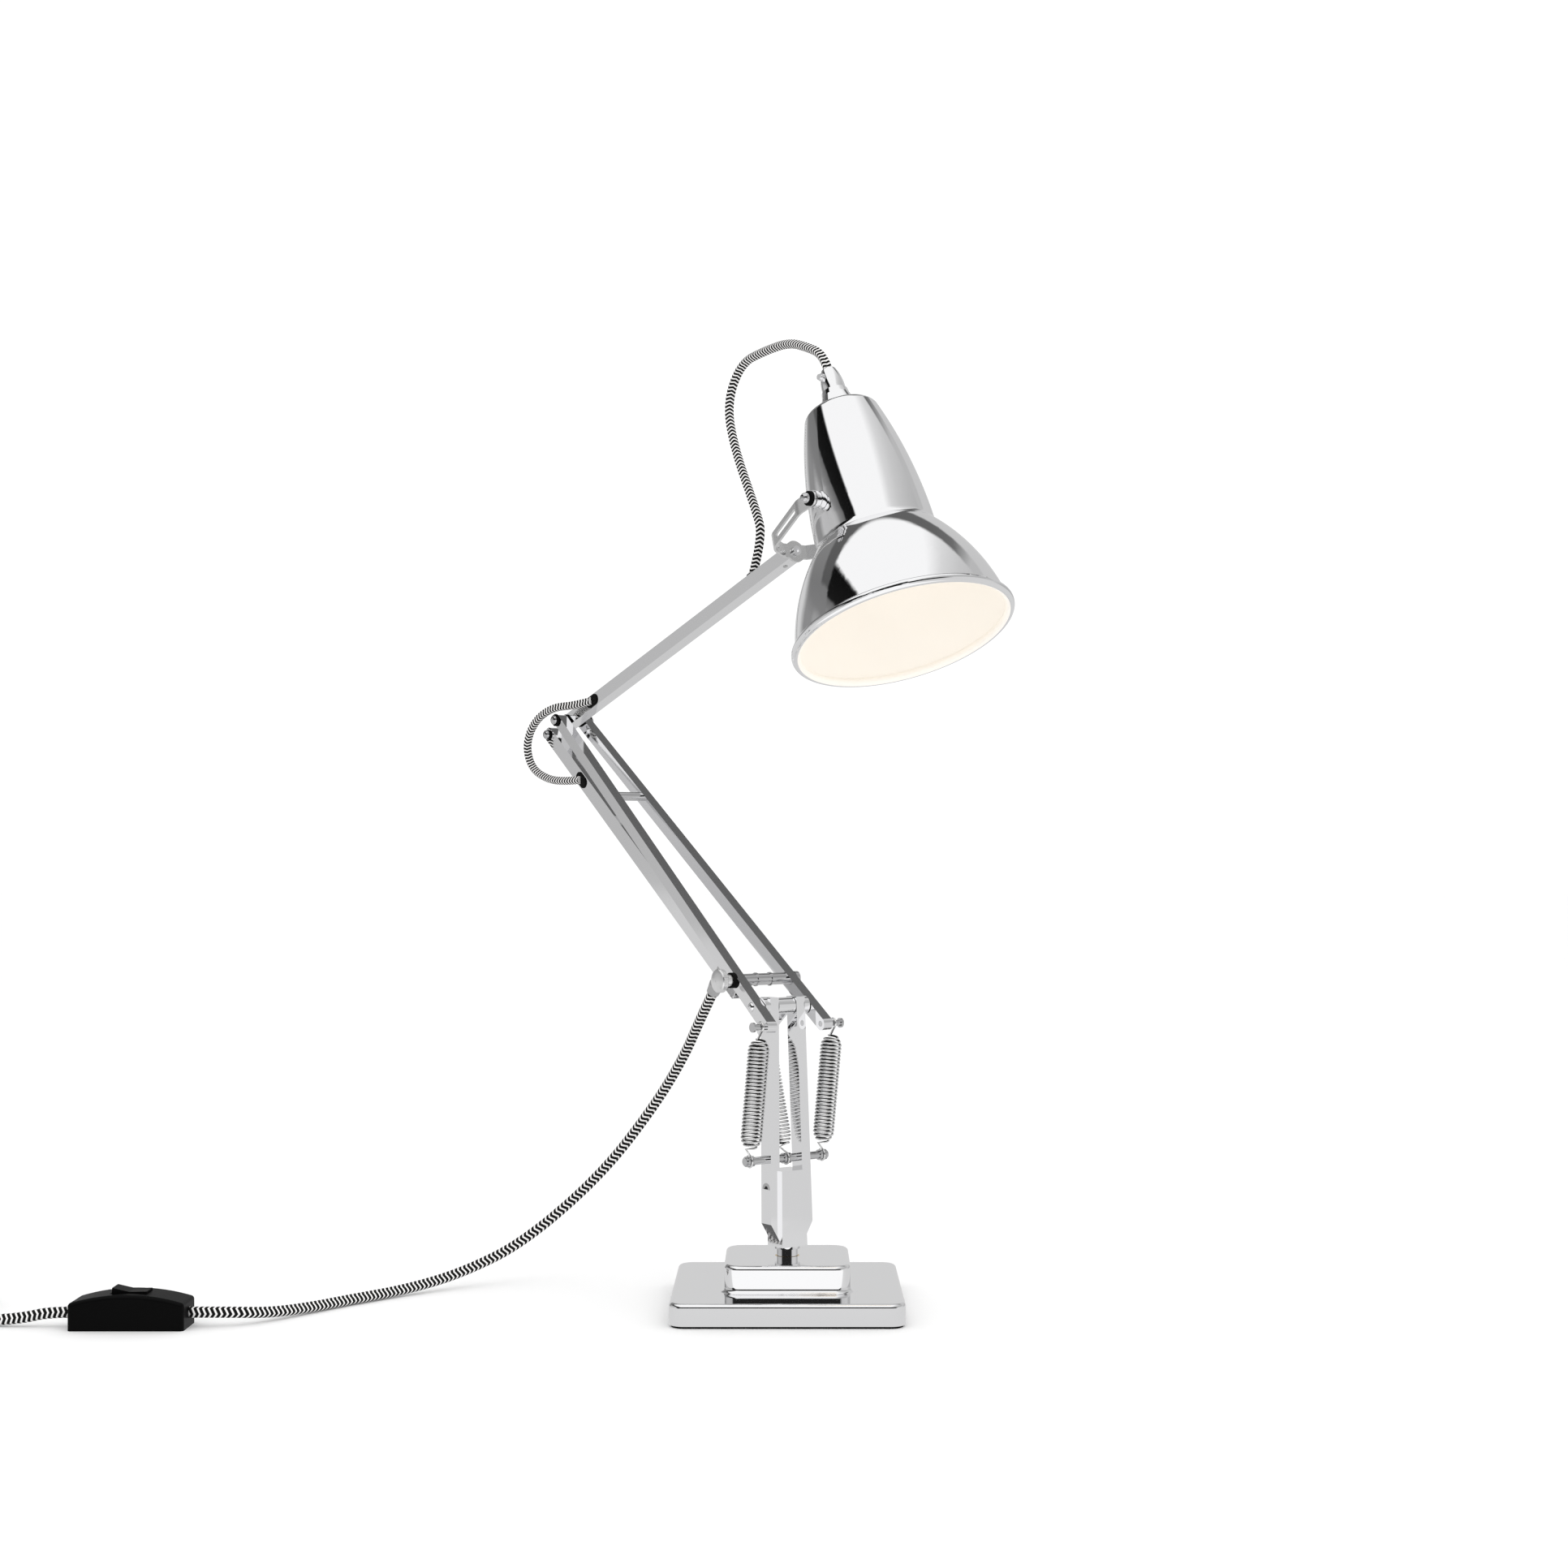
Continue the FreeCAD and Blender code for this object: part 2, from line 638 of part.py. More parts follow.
def make_post():
    neck_foot = UPPER_TIER_TOP + FACE_GAP
    ring_foot = POST_FOOT - SPINDLE_RING_H
    bush_foot = UPPER_TIER_TOP - BUSH_LENGTH
    nut_top = bush_foot - FACE_GAP
    shaft_foot = nut_top - NUT_HEIGHT - 1.5
    spindle = fused([disc(SPINDLE_R, shaft_foot, neck_foot + 1),
                     disc(SPINDLE_NECK_R, neck_foot, ring_foot + 0.5),
                     disc(SPINDLE_RING_R, ring_foot, POST_FOOT)])
    save("spindle", spindle)
    nut = hexagon(NUT_ACROSS, nut_top - NUT_HEIGHT, nut_top).cut(disc(SPINDLE_R, 0, UPPER_TIER_TOP))
    save("spindle_nut", nut)

    wires = []
    for z in (POST_FOOT, BLOCK_TOP):
        inner = post_half_gap(z)
        wires.append(post_section(z, -inner, inner, BLOCK_DEPTH))
    block = Part.makeLoft(wires, True, True)
    block = block.cut(group([post_screw(side, 0.0) for side in (-1, 1)]))
    save_arm("post_block", block)

    uprights = {}
    for side, name in ((-1, "upright_near"), (1, "upright_far")):
        uprights[side] = upright(side)
        save_arm(name, uprights[side])

    screws = []
    for side in (-1, 1):
        face = post_half_gap(POST_SCREW_Z) + UPRIGHT_THICK
        socket = hex_socket(POST_SCREW_R, 2.0).rotated(ORIGIN, V(1, 0, 0), -90 * side)
        socket = socket.translated(V(post_x(POST_SCREW_Z), side * face, POST_SCREW_Z))
        screws.append(post_screw(side, 0.0).cut(socket))
    save_arm("post_screws", group(screws))

    x = post_x(ROD_Z)
    rod = rod_y(ROD_R, -ROD_HALF, ROD_HALF, x, ROD_Z)
    collars = []
    hook_side = SPRING_WIRE / 2 + FACE_GAP + SIDE_GAP
    for y in (-SPRING_SIDE - hook_side, -SPRING_SIDE + hook_side, -hook_side, hook_side,
              SPRING_SIDE - hook_side, SPRING_SIDE + hook_side):
        out = math.copysign(ROD_COLLAR_W, y - SPRING_SIDE * round(y / SPRING_SIDE))
        collars.append(rod_y(ROD_COLLAR_R, min(y, y + out), max(y, y + out), x, ROD_Z))
    save_arm("spring_rod", fused([rod] + collars))

    outside = BAR_SPAN_PIVOT / 2 + BAR_THICK / 2 + 0.4
    axle = rod_y(AXLE_R, -outside, outside, PIVOT_X, PIVOT_Z)
    domes = []
    for side in (-1, 1):
        dome = Part.makeSphere(AXLE_R * 1.25, V(0, 0, -AXLE_R * 0.75)).common(disc(AXLE_R * 2, 0, AXLE_R))
        dome = dome.rotated(ORIGIN, V(1, 0, 0), -90 * side).translated(V(PIVOT_X, side * outside, PIVOT_Z))
        domes.append(dome)
    save_arm("main_axle", fused([axle] + domes))

    spacers = []
    for side in (-1, 1):
        near = post_half_gap(PIVOT_Z) + UPRIGHT_THICK - 0.5
        far = BAR_SPAN_PIVOT / 2 - BAR_THICK / 2 - FACE_GAP - SPACER_R * math.tan(bar_angle())
        y0, y1 = sorted((side * near, side * far))
        ring = rod_y(SPACER_R, y0, y1, PIVOT_X, PIVOT_Z).cut(rod_y(AXLE_R, -100, 100, PIVOT_X, PIVOT_Z))
        spacers.append(ring.cut(uprights[side]))
    save_arm("pivot_spacers", group(spacers))


# Lower arm

def bar_angle():
    return math.atan((BAR_SPAN_PIVOT - BAR_SPAN_ELBOW) / 2 / LOWER_LENGTH)


def bar_centre(u):
    """Distance of a bar's middle from the arm's middle plane, u along the arm from the pivot."""
    return BAR_SPAN_PIVOT / 2 - u * math.tan(bar_angle())


def lower_bar(side):
    blank = stadium(BAR_WIDTH, -TAIL_LENGTH, LOWER_LENGTH, -BAR_THICK / 2, BAR_THICK / 2)
    blank = blank.rotated(ORIGIN, V(1, 0, 0), math.degrees(bar_angle()) * side)
    blank = blank.translated(V(0, side * BAR_SPAN_PIVOT / 2, 0))
    holes = [rod_y(AXLE_R + RUN_FIT, -100, 100), rod_y(ELBOW_PIN_R + RUN_FIT, -100, 100, 0, LOWER_LENGTH),
             rod_y(TIE_R, -100, 100, 0, TIE_AT), rod_y(TAIL_PIN_R, -100, 100, 0, -TAIL_LENGTH)]
    return blank.cut(group(holes))


def on_lower_arm(shape):
    return leaned(shape, -LOWER_LEAN, PIVOT)


def knob_profile():
    """The friction knob about z, its face at the top: neck, fluted rim and shallow dome."""
    rim_top = KNOB_NECK + KNOB_THICK - KNOB_DOME
    body = revolved([(0, 0), (0, KNOB_NECK_R), (KNOB_NECK, KNOB_NECK_R),
                     (KNOB_NECK + KNOB_EDGE, KNOB_R - KNOB_EDGE), (KNOB_NECK + 2 * KNOB_EDGE, KNOB_R),
                     (rim_top - KNOB_EDGE, KNOB_R), (rim_top, KNOB_R - KNOB_EDGE),
                     (rim_top, 0)])
    body = body.fuse(dome(KNOB_R - KNOB_EDGE, KNOB_DOME, rim_top)).removeSplitter()
    flutes = []
    for k in range(KNOB_FLUTES):
        a = 2 * math.pi * k / KNOB_FLUTES
        r = KNOB_R + 0.1
        flutes.append(disc(0.35, KNOB_NECK, rim_top, r * math.cos(a), r * math.sin(a)))
    return body.cut(group(flutes))


def make_lower_arm():
    bars = {side: lower_bar(side) for side in (-1, 1)}
    save_arm("lower_bar_near", on_lower_arm(bars[-1]))
    save_arm("lower_bar_far", on_lower_arm(bars[1]))
    both = group(list(bars.values()))

    near_face = bar_centre(TIE_AT) + BAR_THICK / 2 + BAR_WIDTH * math.tan(bar_angle())
    knob_foot = near_face + KNOB_WASHER
    shaft = rod_y(TIE_R, -knob_foot - KNOB_NECK, near_face, 0, TIE_AT)
    nut_head = rod_y(TIE_RING_R, near_face, near_face + 3.0, 0, TIE_AT)
    save_arm("tie_shaft", on_lower_arm(fused([shaft, nut_head])))

    inner = bar_centre(TIE_AT) - BAR_THICK / 2
    third = inner * 2 / 3
    sleeves = []
    for k in range(3):
        y0 = -inner + k * third
        y1 = y0 + third
        if k == 0:
            y0 -= 1.0
        if k == 2:
            y1 += 1.0
        tube = rod_y(TIE_SLEEVE_R, y0, y1, 0, TIE_AT)
        collar = rod_y(TIE_RING_R, y1 - 1.0, y1, 0, TIE_AT)
        sleeve = tube.fuse(collar) if k < 2 else tube
        sleeves.append(sleeve.cut(rod_y(TIE_R, -100, 100, 0, TIE_AT)).cut(both))
    save_arm("tie_sleeves", on_lower_arm(group(sleeves)))

    washer = rod_y(KNOB_WASHER_R, -knob_foot + FACE_GAP, -near_face + 1.0, 0, TIE_AT)
    washer = washer.cut(rod_y(TIE_R, -100, 100, 0, TIE_AT)).cut(both)
    save_arm("knob_washer", on_lower_arm(washer))

    knob = knob_profile().cut(disc(TIE_R + RUN_FIT, -1, KNOB_NECK + FACE_GAP))
    knob = knob.rotated(ORIGIN, V(1, 0, 0), 90).translated(V(0, -knob_foot, TIE_AT))
    save_arm("friction_knob", on_lower_arm(knob))

    reach = bar_centre(TOP_SPACER_AT)
    spacer = rod_y(TOP_SPACER_R, -reach, reach, 0, TOP_SPACER_AT).cut(both)
    save_arm("top_spacer", on_lower_arm(spacer))

    pins = []
    for side in (-1, 1):
        middle = bar_centre(-TAIL_LENGTH)
        start = middle - BAR_THICK / 2
        end = middle + BAR_THICK / 2 + TAIL_PIN_OUT
        y0, y1 = sorted((side * start, side * end))
        pin = rod_y(TAIL_PIN_R, y0, y1, 0, -TAIL_LENGTH)
        h0, h1 = sorted((side * end, side * (end + 1.5)))
        pins.append(pin.fuse(rod_y(TAIL_PIN_R + 1.2, h0, h1, 0, -TAIL_LENGTH)).removeSplitter())
    save_arm("tail_pins", on_lower_arm(group(pins)))

    y = -bar_centre(GLAND_AT)
    barrel = Part.makeCone(GLAND_R, MAINS_R + 0.9, GLAND_LENGTH, gland_start(), gland_heading())
    ear = box(-GLAND_BACK, 0, y - GLAND_ARM, y + GLAND_ARM, GLAND_AT - GLAND_ARM, GLAND_AT + GLAND_ARM)
    gland = fused([barrel, on_lower_arm(ear)])
    save_arm("cord_gland", gland.cut(on_lower_arm(bars[-1])))


def gland_start():
    """Where the gland's barrel begins, in the arm frame."""
    return leaned_point(-GLAND_BACK, -bar_centre(GLAND_AT), GLAND_AT, -LOWER_LEAN, PIVOT)


def gland_heading():
    """The direction in which the mains lead leaves the gland, in the arm frame."""
    start = gland_start()
    first = V(*MAINS_ROUTE[0])
    turn = math.radians(POST_SWIVEL - 90.0)
    target = V(first.x * math.cos(turn) + first.y * math.sin(turn),
               first.y * math.cos(turn) - first.x * math.sin(turn), first.z)
    return V(target - start).normalize()


# Lever and link

def make_lever():
    half = LEVER_GAP / 2 + LEVER_PLATE
    hub_half = post_half_gap(PIVOT_Z) - SIDE_GAP
    lean = 90.0 - CRANK_ANGLE
    arms = []
    for side in (-1, 1):
        y0, y1 = sorted((side * LEVER_GAP / 2, side * half))
        arms.append(stadium(LEVER_WIDTH, 0, LEVER_REACH, y0, y1))
    lever = fused(arms + [rod_y(LEVER_HUB_R, -hub_half, hub_half)])
    strap_near = LINK_NEAR_FACE + LINK_THICK
    link_pin = rod_y(LEVER_PIN_R, strap_near - FACE_GAP, half, 0, CRANK)
    head = rod_y(LEVER_PIN_R + 1.4, strap_near - FACE_GAP - 1.2, strap_near - FACE_GAP, 0, CRANK)
    spring_pin = rod_y(LEVER_PIN_R, -half, half, 0, LEVER_REACH)
    lever = lever.cut(rod_y(AXLE_R + RUN_FIT, -50, 50))
    save_arm("spring_lever", leaned(fused([lever, link_pin, head, spring_pin]), lean, PIVOT))


def on_link(shape):
    return leaned(shape, -LOWER_LEAN, LINK_FOOT)


def make_link():
    near = LINK_NEAR_FACE
    far = near + LINK_THICK
    half = LINK_WIDTH / 2
    outer = fused([box(-half, half, near, far, LINK_START, LOWER_LENGTH),
                   rod_y(half, near, far, 0, LOWER_LENGTH)])
    hollow = box(-half + LINK_WALL, half - LINK_WALL, near + LINK_WALL, far - LINK_WALL, LINK_START,
                 LOWER_LENGTH - LINK_WIDTH)
    tube = outer.cut(hollow).cut(rod_y(LINK_PIN_R + RUN_FIT, -50, 50, 0, LOWER_LENGTH))
    slot = grommet_plug(GROMMET_LENGTH - 2, GROMMET_WIDTH - 2, LINK_WALL).translated(V(0, near + LINK_WALL, 0))
    slot = slot.translated(V(0, 0, LINK_HOLE_AT))
    bolt_hole = rod_y(LINK_BOLT_R, -50, 50, 0, LINK_BOLT_AT)
    save_arm("link_tube", on_link(tube.cut(slot).cut(bolt_hole)))

    oval = grommet_plug(GROMMET_LENGTH, GROMMET_WIDTH, GROMMET_PROUD).translated(V(0, near, LINK_HOLE_AT))
    save_arm("link_grommet", on_link(oval))

    lap_end = LINK_START + STRAP_LAP
    strap = stadium(LINK_WIDTH, 0, lap_end - half, far, far + STRAP_THICK)
    strap = strap.cut(rod_y(LEVER_PIN_R + RUN_FIT, -50, 50))
    shank = rod_y(LINK_BOLT_R, near, far + STRAP_THICK, 0, LINK_BOLT_AT)
    heads = [rod_y(LINK_BOLT_R + 1.3, near - 2.2, near, 0, LINK_BOLT_AT),
             rod_y(LINK_BOLT_R + 1.0, far + STRAP_THICK, far + STRAP_THICK + 0.8, 0, LINK_BOLT_AT)]
    save_arm("link_strap", on_link(fused([strap, shank] + heads)))


# Upper arm

def on_upper_arm(shape):
    return leaned(shape, UPPER_LEAN, ELBOW)


def cap_nut(r, height, y, side):
    """A domed nut whose flat face lies at y and whose dome points to that side."""
    body = disc(r, 0, height / 2).fuse(dome(r, height / 2, height / 2)).removeSplitter()
    return body.rotated(ORIGIN, V(1, 0, 0), -90 * side).translated(V(0, y, 0))


def make_upper_arm():
    half = TUBE_SIDE / 2
    inner = half - TUBE_WALL
    face = UPPER_LENGTH - TUBE_SIDE * math.tan(math.radians(YOKE_DIP))
    outer = box(-half, half, -half, half, -TUBE_BEHIND, face)
    hollow = box(-inner, inner, -inner, inner, -TUBE_BEHIND, face)
    slot = grommet_plug(GROMMET_LENGTH - 2, GROMMET_WIDTH - 2, TUBE_WALL).translated(V(0, -inner, ARM_HOLE_AT))
    head_hole = Part.makeCylinder(HEAD_GROMMET_R - 1, half, V(-half, 0, HEAD_HOLE_AT), V(1, 0, 0))
    screw_at = UPPER_LENGTH - ARM_SCREW_FROM_END / 2
    screw_hole = Part.makeCylinder(ARM_SCREW_R, half, V(0, 0, screw_at), V(1, 0, 0))
    pin_hole = rod_y(ELBOW_PIN_R, -50, 50)
    tube = outer.cut(hollow).cut(group([slot, head_hole, screw_hole, pin_hole]))
    save_arm("upper_tube", on_upper_arm(tube))

    # The tail pivot lies behind and a little below the elbow, on the crank's line.
    tail_x = -math.sin(math.radians(CRANK_ANGLE - 180.0 - UPPER_RISE)) * -CRANK
    tail_z = -math.cos(math.radians(CRANK_ANGLE - 180.0 - UPPER_RISE)) * CRANK
    fit = inner - FACE_GAP
    insert = box(-fit, fit, -fit, fit, -TUBE_BEHIND, TONGUE_INSERT)
    tail = stadium(2 * TONGUE_R, 0, CRANK, -fit, fit)
    tail = tail.rotated(ORIGIN, Y_AXIS, math.degrees(math.atan2(tail_x, tail_z)))
    tongue = fused([insert, tail.cut(box(-50, 50, -50, 50, -TUBE_BEHIND, 50))])
    link_hole = rod_y(LINK_PIN_R, -50, 50, tail_x, tail_z)
    save_arm("elbow_tongue", on_upper_arm(tongue.cut(group([pin_hole, link_hole]))))

    edge = bar_centre(LOWER_LENGTH) + BAR_THICK / 2 + BAR_WIDTH / 2 * math.tan(bar_angle()) + FACE_GAP
    reach = edge + NUT_WASHER
    pin = rod_y(ELBOW_PIN_R, -reach, reach)
    nuts = [cap_nut(CAP_NUT_R, CAP_NUT_H, side * reach, side) for side in (-1, 1)]
    save_arm("elbow_pin", on_upper_arm(fused([pin] + nuts)))

    washers = []
    inside = bar_centre(LOWER_LENGTH) - BAR_THICK / 2 - BAR_WIDTH / 2 * math.tan(bar_angle()) - FACE_GAP
    for side in (-1, 1):
        for a, b in ((half, inside), (edge, reach)):
            y0, y1 = sorted((side * a, side * b))
            washers.append(rod_y(ELBOW_WASHER_R, y0, y1).cut(pin))
    link_edge = LINK_NEAR_FACE - FACE_GAP
    link_out = link_edge - NUT_WASHER
    link_washer = rod_y(CAP_NUT_R, link_out, link_edge, tail_x, tail_z)
    washers.append(link_washer.cut(rod_y(LINK_PIN_R, -50, 50, tail_x, tail_z)))
    save_arm("elbow_washers", on_upper_arm(group(washers)))

    link_pin = rod_y(LINK_PIN_R, link_out, fit, tail_x, tail_z)
    link_nut = cap_nut(CAP_NUT_R - 0.3, CAP_NUT_H, link_out, -1).translated(V(tail_x, 0, tail_z))
    save_arm("link_pin", on_upper_arm(fused([link_pin, link_nut])))

    oval = grommet_plug(GROMMET_LENGTH, GROMMET_WIDTH, GROMMET_PROUD).translated(V(0, -half, ARM_HOLE_AT))
    save_arm("arm_grommet", on_upper_arm(oval))
    ring_top = V(-half - GROMMET_PROUD, 0, HEAD_HOLE_AT)
    ring = Part.makeCylinder(HEAD_GROMMET_R, GROMMET_PROUD, ring_top, V(1, 0, 0))
    save_arm("head_grommet", on_upper_arm(ring))

    plug = box(-fit, fit, -fit, fit, face - PLUG_LENGTH, face)
    yoke_hole = disc(YOKE_SCREW_R, -2 * PLUG_LENGTH, PLUG_LENGTH)
    plug = plug.cut(leaned(yoke_hole, YOKE_DIP, V(0, 0, UPPER_LENGTH)))
    screw_tip = V(YOKE_SCREW_R + END_GAP, 0, screw_at)
    plug = plug.cut(Part.makeCylinder(ARM_SCREW_R, half, screw_tip, V(1, 0, 0)))
    save_arm("head_plug", on_upper_arm(plug))
    screw = Part.makeCylinder(ARM_SCREW_R, half - screw_tip.x + END_GAP, screw_tip, V(1, 0, 0))
    save_arm("arm_screw", on_upper_arm(screw))


# Yoke

def rounded_path(points, radii):
    """Edges along points with tangent arcs of the given radii at the inner ones."""
    edges = []
    last = points[0]
    for before, here, after, r in zip(points, points[1:], points[2:], radii):
        back = V(before - here).normalize()
        ahead = V(after - here).normalize()
        reach = r * math.tan((math.pi - back.getAngle(ahead)) / 2)
        edges.append(Part.LineSegment(last, here + back * reach).toShape())
        edges.append(arc_to(here + back * reach, -back, here + ahead * reach))
        last = here + ahead * reach
    edges.append(Part.LineSegment(last, points[-1]).toShape())
    return edges


def shade_radius_at_pivot():
    """Outer radius of the shade's body where the pivots stand."""
    share = (SHADE_PIVOT_AT - BODY_MID_AT) / (WAIST_AT - BODY_MID_AT)
    return BODY_MID_R + (WAIST_R - BODY_MID_R) * share * (1.33 - 0.33 * share)


def yoke_leg(side):
    """One leg of the strap: wing, bend, straight run and flat end at the pivot."""
    end_y = shade_radius_at_pivot() + RING_STACK + FACE_GAP + YOKE_THICK / 2
    start = V(0, YOKE_FLAT, 0)
    c = V(0, end_y, YOKE_LENGTH - FACE_GAP - YOKE_THICK / 2)
    line = [start, V(0, YOKE_BEND_Y, YOKE_BEND_X), V(0, end_y, c.z - YOKE_END_FLAT), c]
    middle = Part.Wire(rounded_path(line, (YOKE_BEND_R, YOKE_END_R)))
    heading = V(line[1] - start).normalize()
    up = V(0, -heading.z, heading.y) * (YOKE_THICK / 2)
    across = V(YOKE_WIDTH / 2, 0, 0)
    corners = [start + up + across, start - up + across, start - up - across, start + up - across]
    leg = middle.makePipeShell([Part.makePolygon(corners + corners[:1])], True, False)
    leg = Part.Solid(leg) if leg.ShapeType == "Shell" else leg
    end = rod_y(YOKE_WIDTH / 2, c.y - YOKE_THICK / 2, c.y + YOKE_THICK / 2, 0, c.z)
    leg = leg.fuse(end)
    slot = stadium(YOKE_SLOT, YOKE_SLOT_FROM, YOKE_SLOT_TO, 0, 80)
    wing = Part.makeCylinder(YOKE_SLOT / 2, 60, V(0, (YOKE_FLAT + YOKE_BEND_Y) / 2 + 1, -30), Z_AXIS)
    leg = leg.cut(group([slot, wing, rod_y(STUD_R + RUN_FIT, 0, 80, 0, c.z)]))
    return leg if side > 0 else leg.mirror(ORIGIN, Y_AXIS)


def on_yoke(shape):
    return leaned(shape, YOKE_LEAN, ARM_END)


def make_yoke():
    half = YOKE_WIDTH / 2
    reach = YOKE_FLAT + 0.6
    flat = box(-half, half, -reach, reach, FACE_GAP, FACE_GAP + YOKE_THICK)
    round_plate = disc(YOKE_DISC_R, FACE_GAP, FACE_GAP + YOKE_THICK)
    lift = FACE_GAP + YOKE_THICK / 2
    legs = [yoke_leg(side).translated(V(0, 0, lift)) for side in (-1, 1)]
    yoke = fused([flat, round_plate] + legs)
    yoke = yoke.cut(disc(YOKE_SCREW_R + RUN_FIT, -5, 5))
    behind = box(-50, 50, -YOKE_BEND_Y, YOKE_BEND_Y, -20, FACE_GAP)
    save_arm("yoke", on_yoke(yoke.cut(behind)))

    foot = FACE_GAP + YOKE_THICK + FACE_GAP
    head = disc(YOKE_SCREW_HEAD_R, foot, foot + 1.8).cut(hexagon(2.6, foot + 0.7, foot + 3))
    screw = fused([disc(YOKE_SCREW_R, -PLUG_LENGTH + 2, foot + 0.5), head])
    save_arm("yoke_screw", on_yoke(screw))


# Shade

def on_shade(shape):
    return leaned(shape, SHADE_LEAN, SHADE_TOP)


def shade_shell(start, end):
    """The spun shell about z, from its neck hole to its rolled lip, between two levels."""
    w = SHADE_WALL
    lip_at = SHADE_LENGTH - LIP_R
    cove = ((WAIST_AT + BELL_AT) / 2 + 0.4, WAIST_R + (BELL_R - WAIST_R) * 0.3)
    outer = [(SHADE_TOP_AT, SHADE_TOP_R), (SHOULDER_AT - 1.0, SHOULDER_R - 2.4),
             (SHOULDER_AT + 2.2, SHOULDER_R + 1.0), (WAIST_AT, WAIST_R), (BELL_AT, BELL_R), (lip_at, RIM_R)]
    inner = [(lip_at, RIM_R - w), (BELL_AT + w * 0.7, BELL_R - w * 0.7), (WAIST_AT, WAIST_R - w),
             (SHOULDER_AT + 2.2, SHOULDER_R + 1.0 - w), (SHOULDER_AT - 1.0 + w, SHOULDER_R - 2.4 - w),
             (SHADE_TOP_AT + w, SHADE_TOP_R)]
    arcs = {2: (SHOULDER_AT + 0.2, SHOULDER_R - 0.5), 3: (BODY_MID_AT, BODY_MID_R), 4: cove,
            5: (BELL_MID_AT, BELL_MID_R), 7: (BELL_MID_AT + w / 2, BELL_MID_R - w),
            8: (cove[0] + w * 0.3, cove[1] - w), 9: (BODY_MID_AT, BODY_MID_R - w)}
    lip = Part.makeTorus(RIM_R, LIP_R, V(0, 0, lip_at), Z_AXIS)
    shell = revolved(outer + inner, arcs).fuse(lip).removeSplitter()
    return shell.common(disc(RIM_R + 2 * LIP_R, start, end))


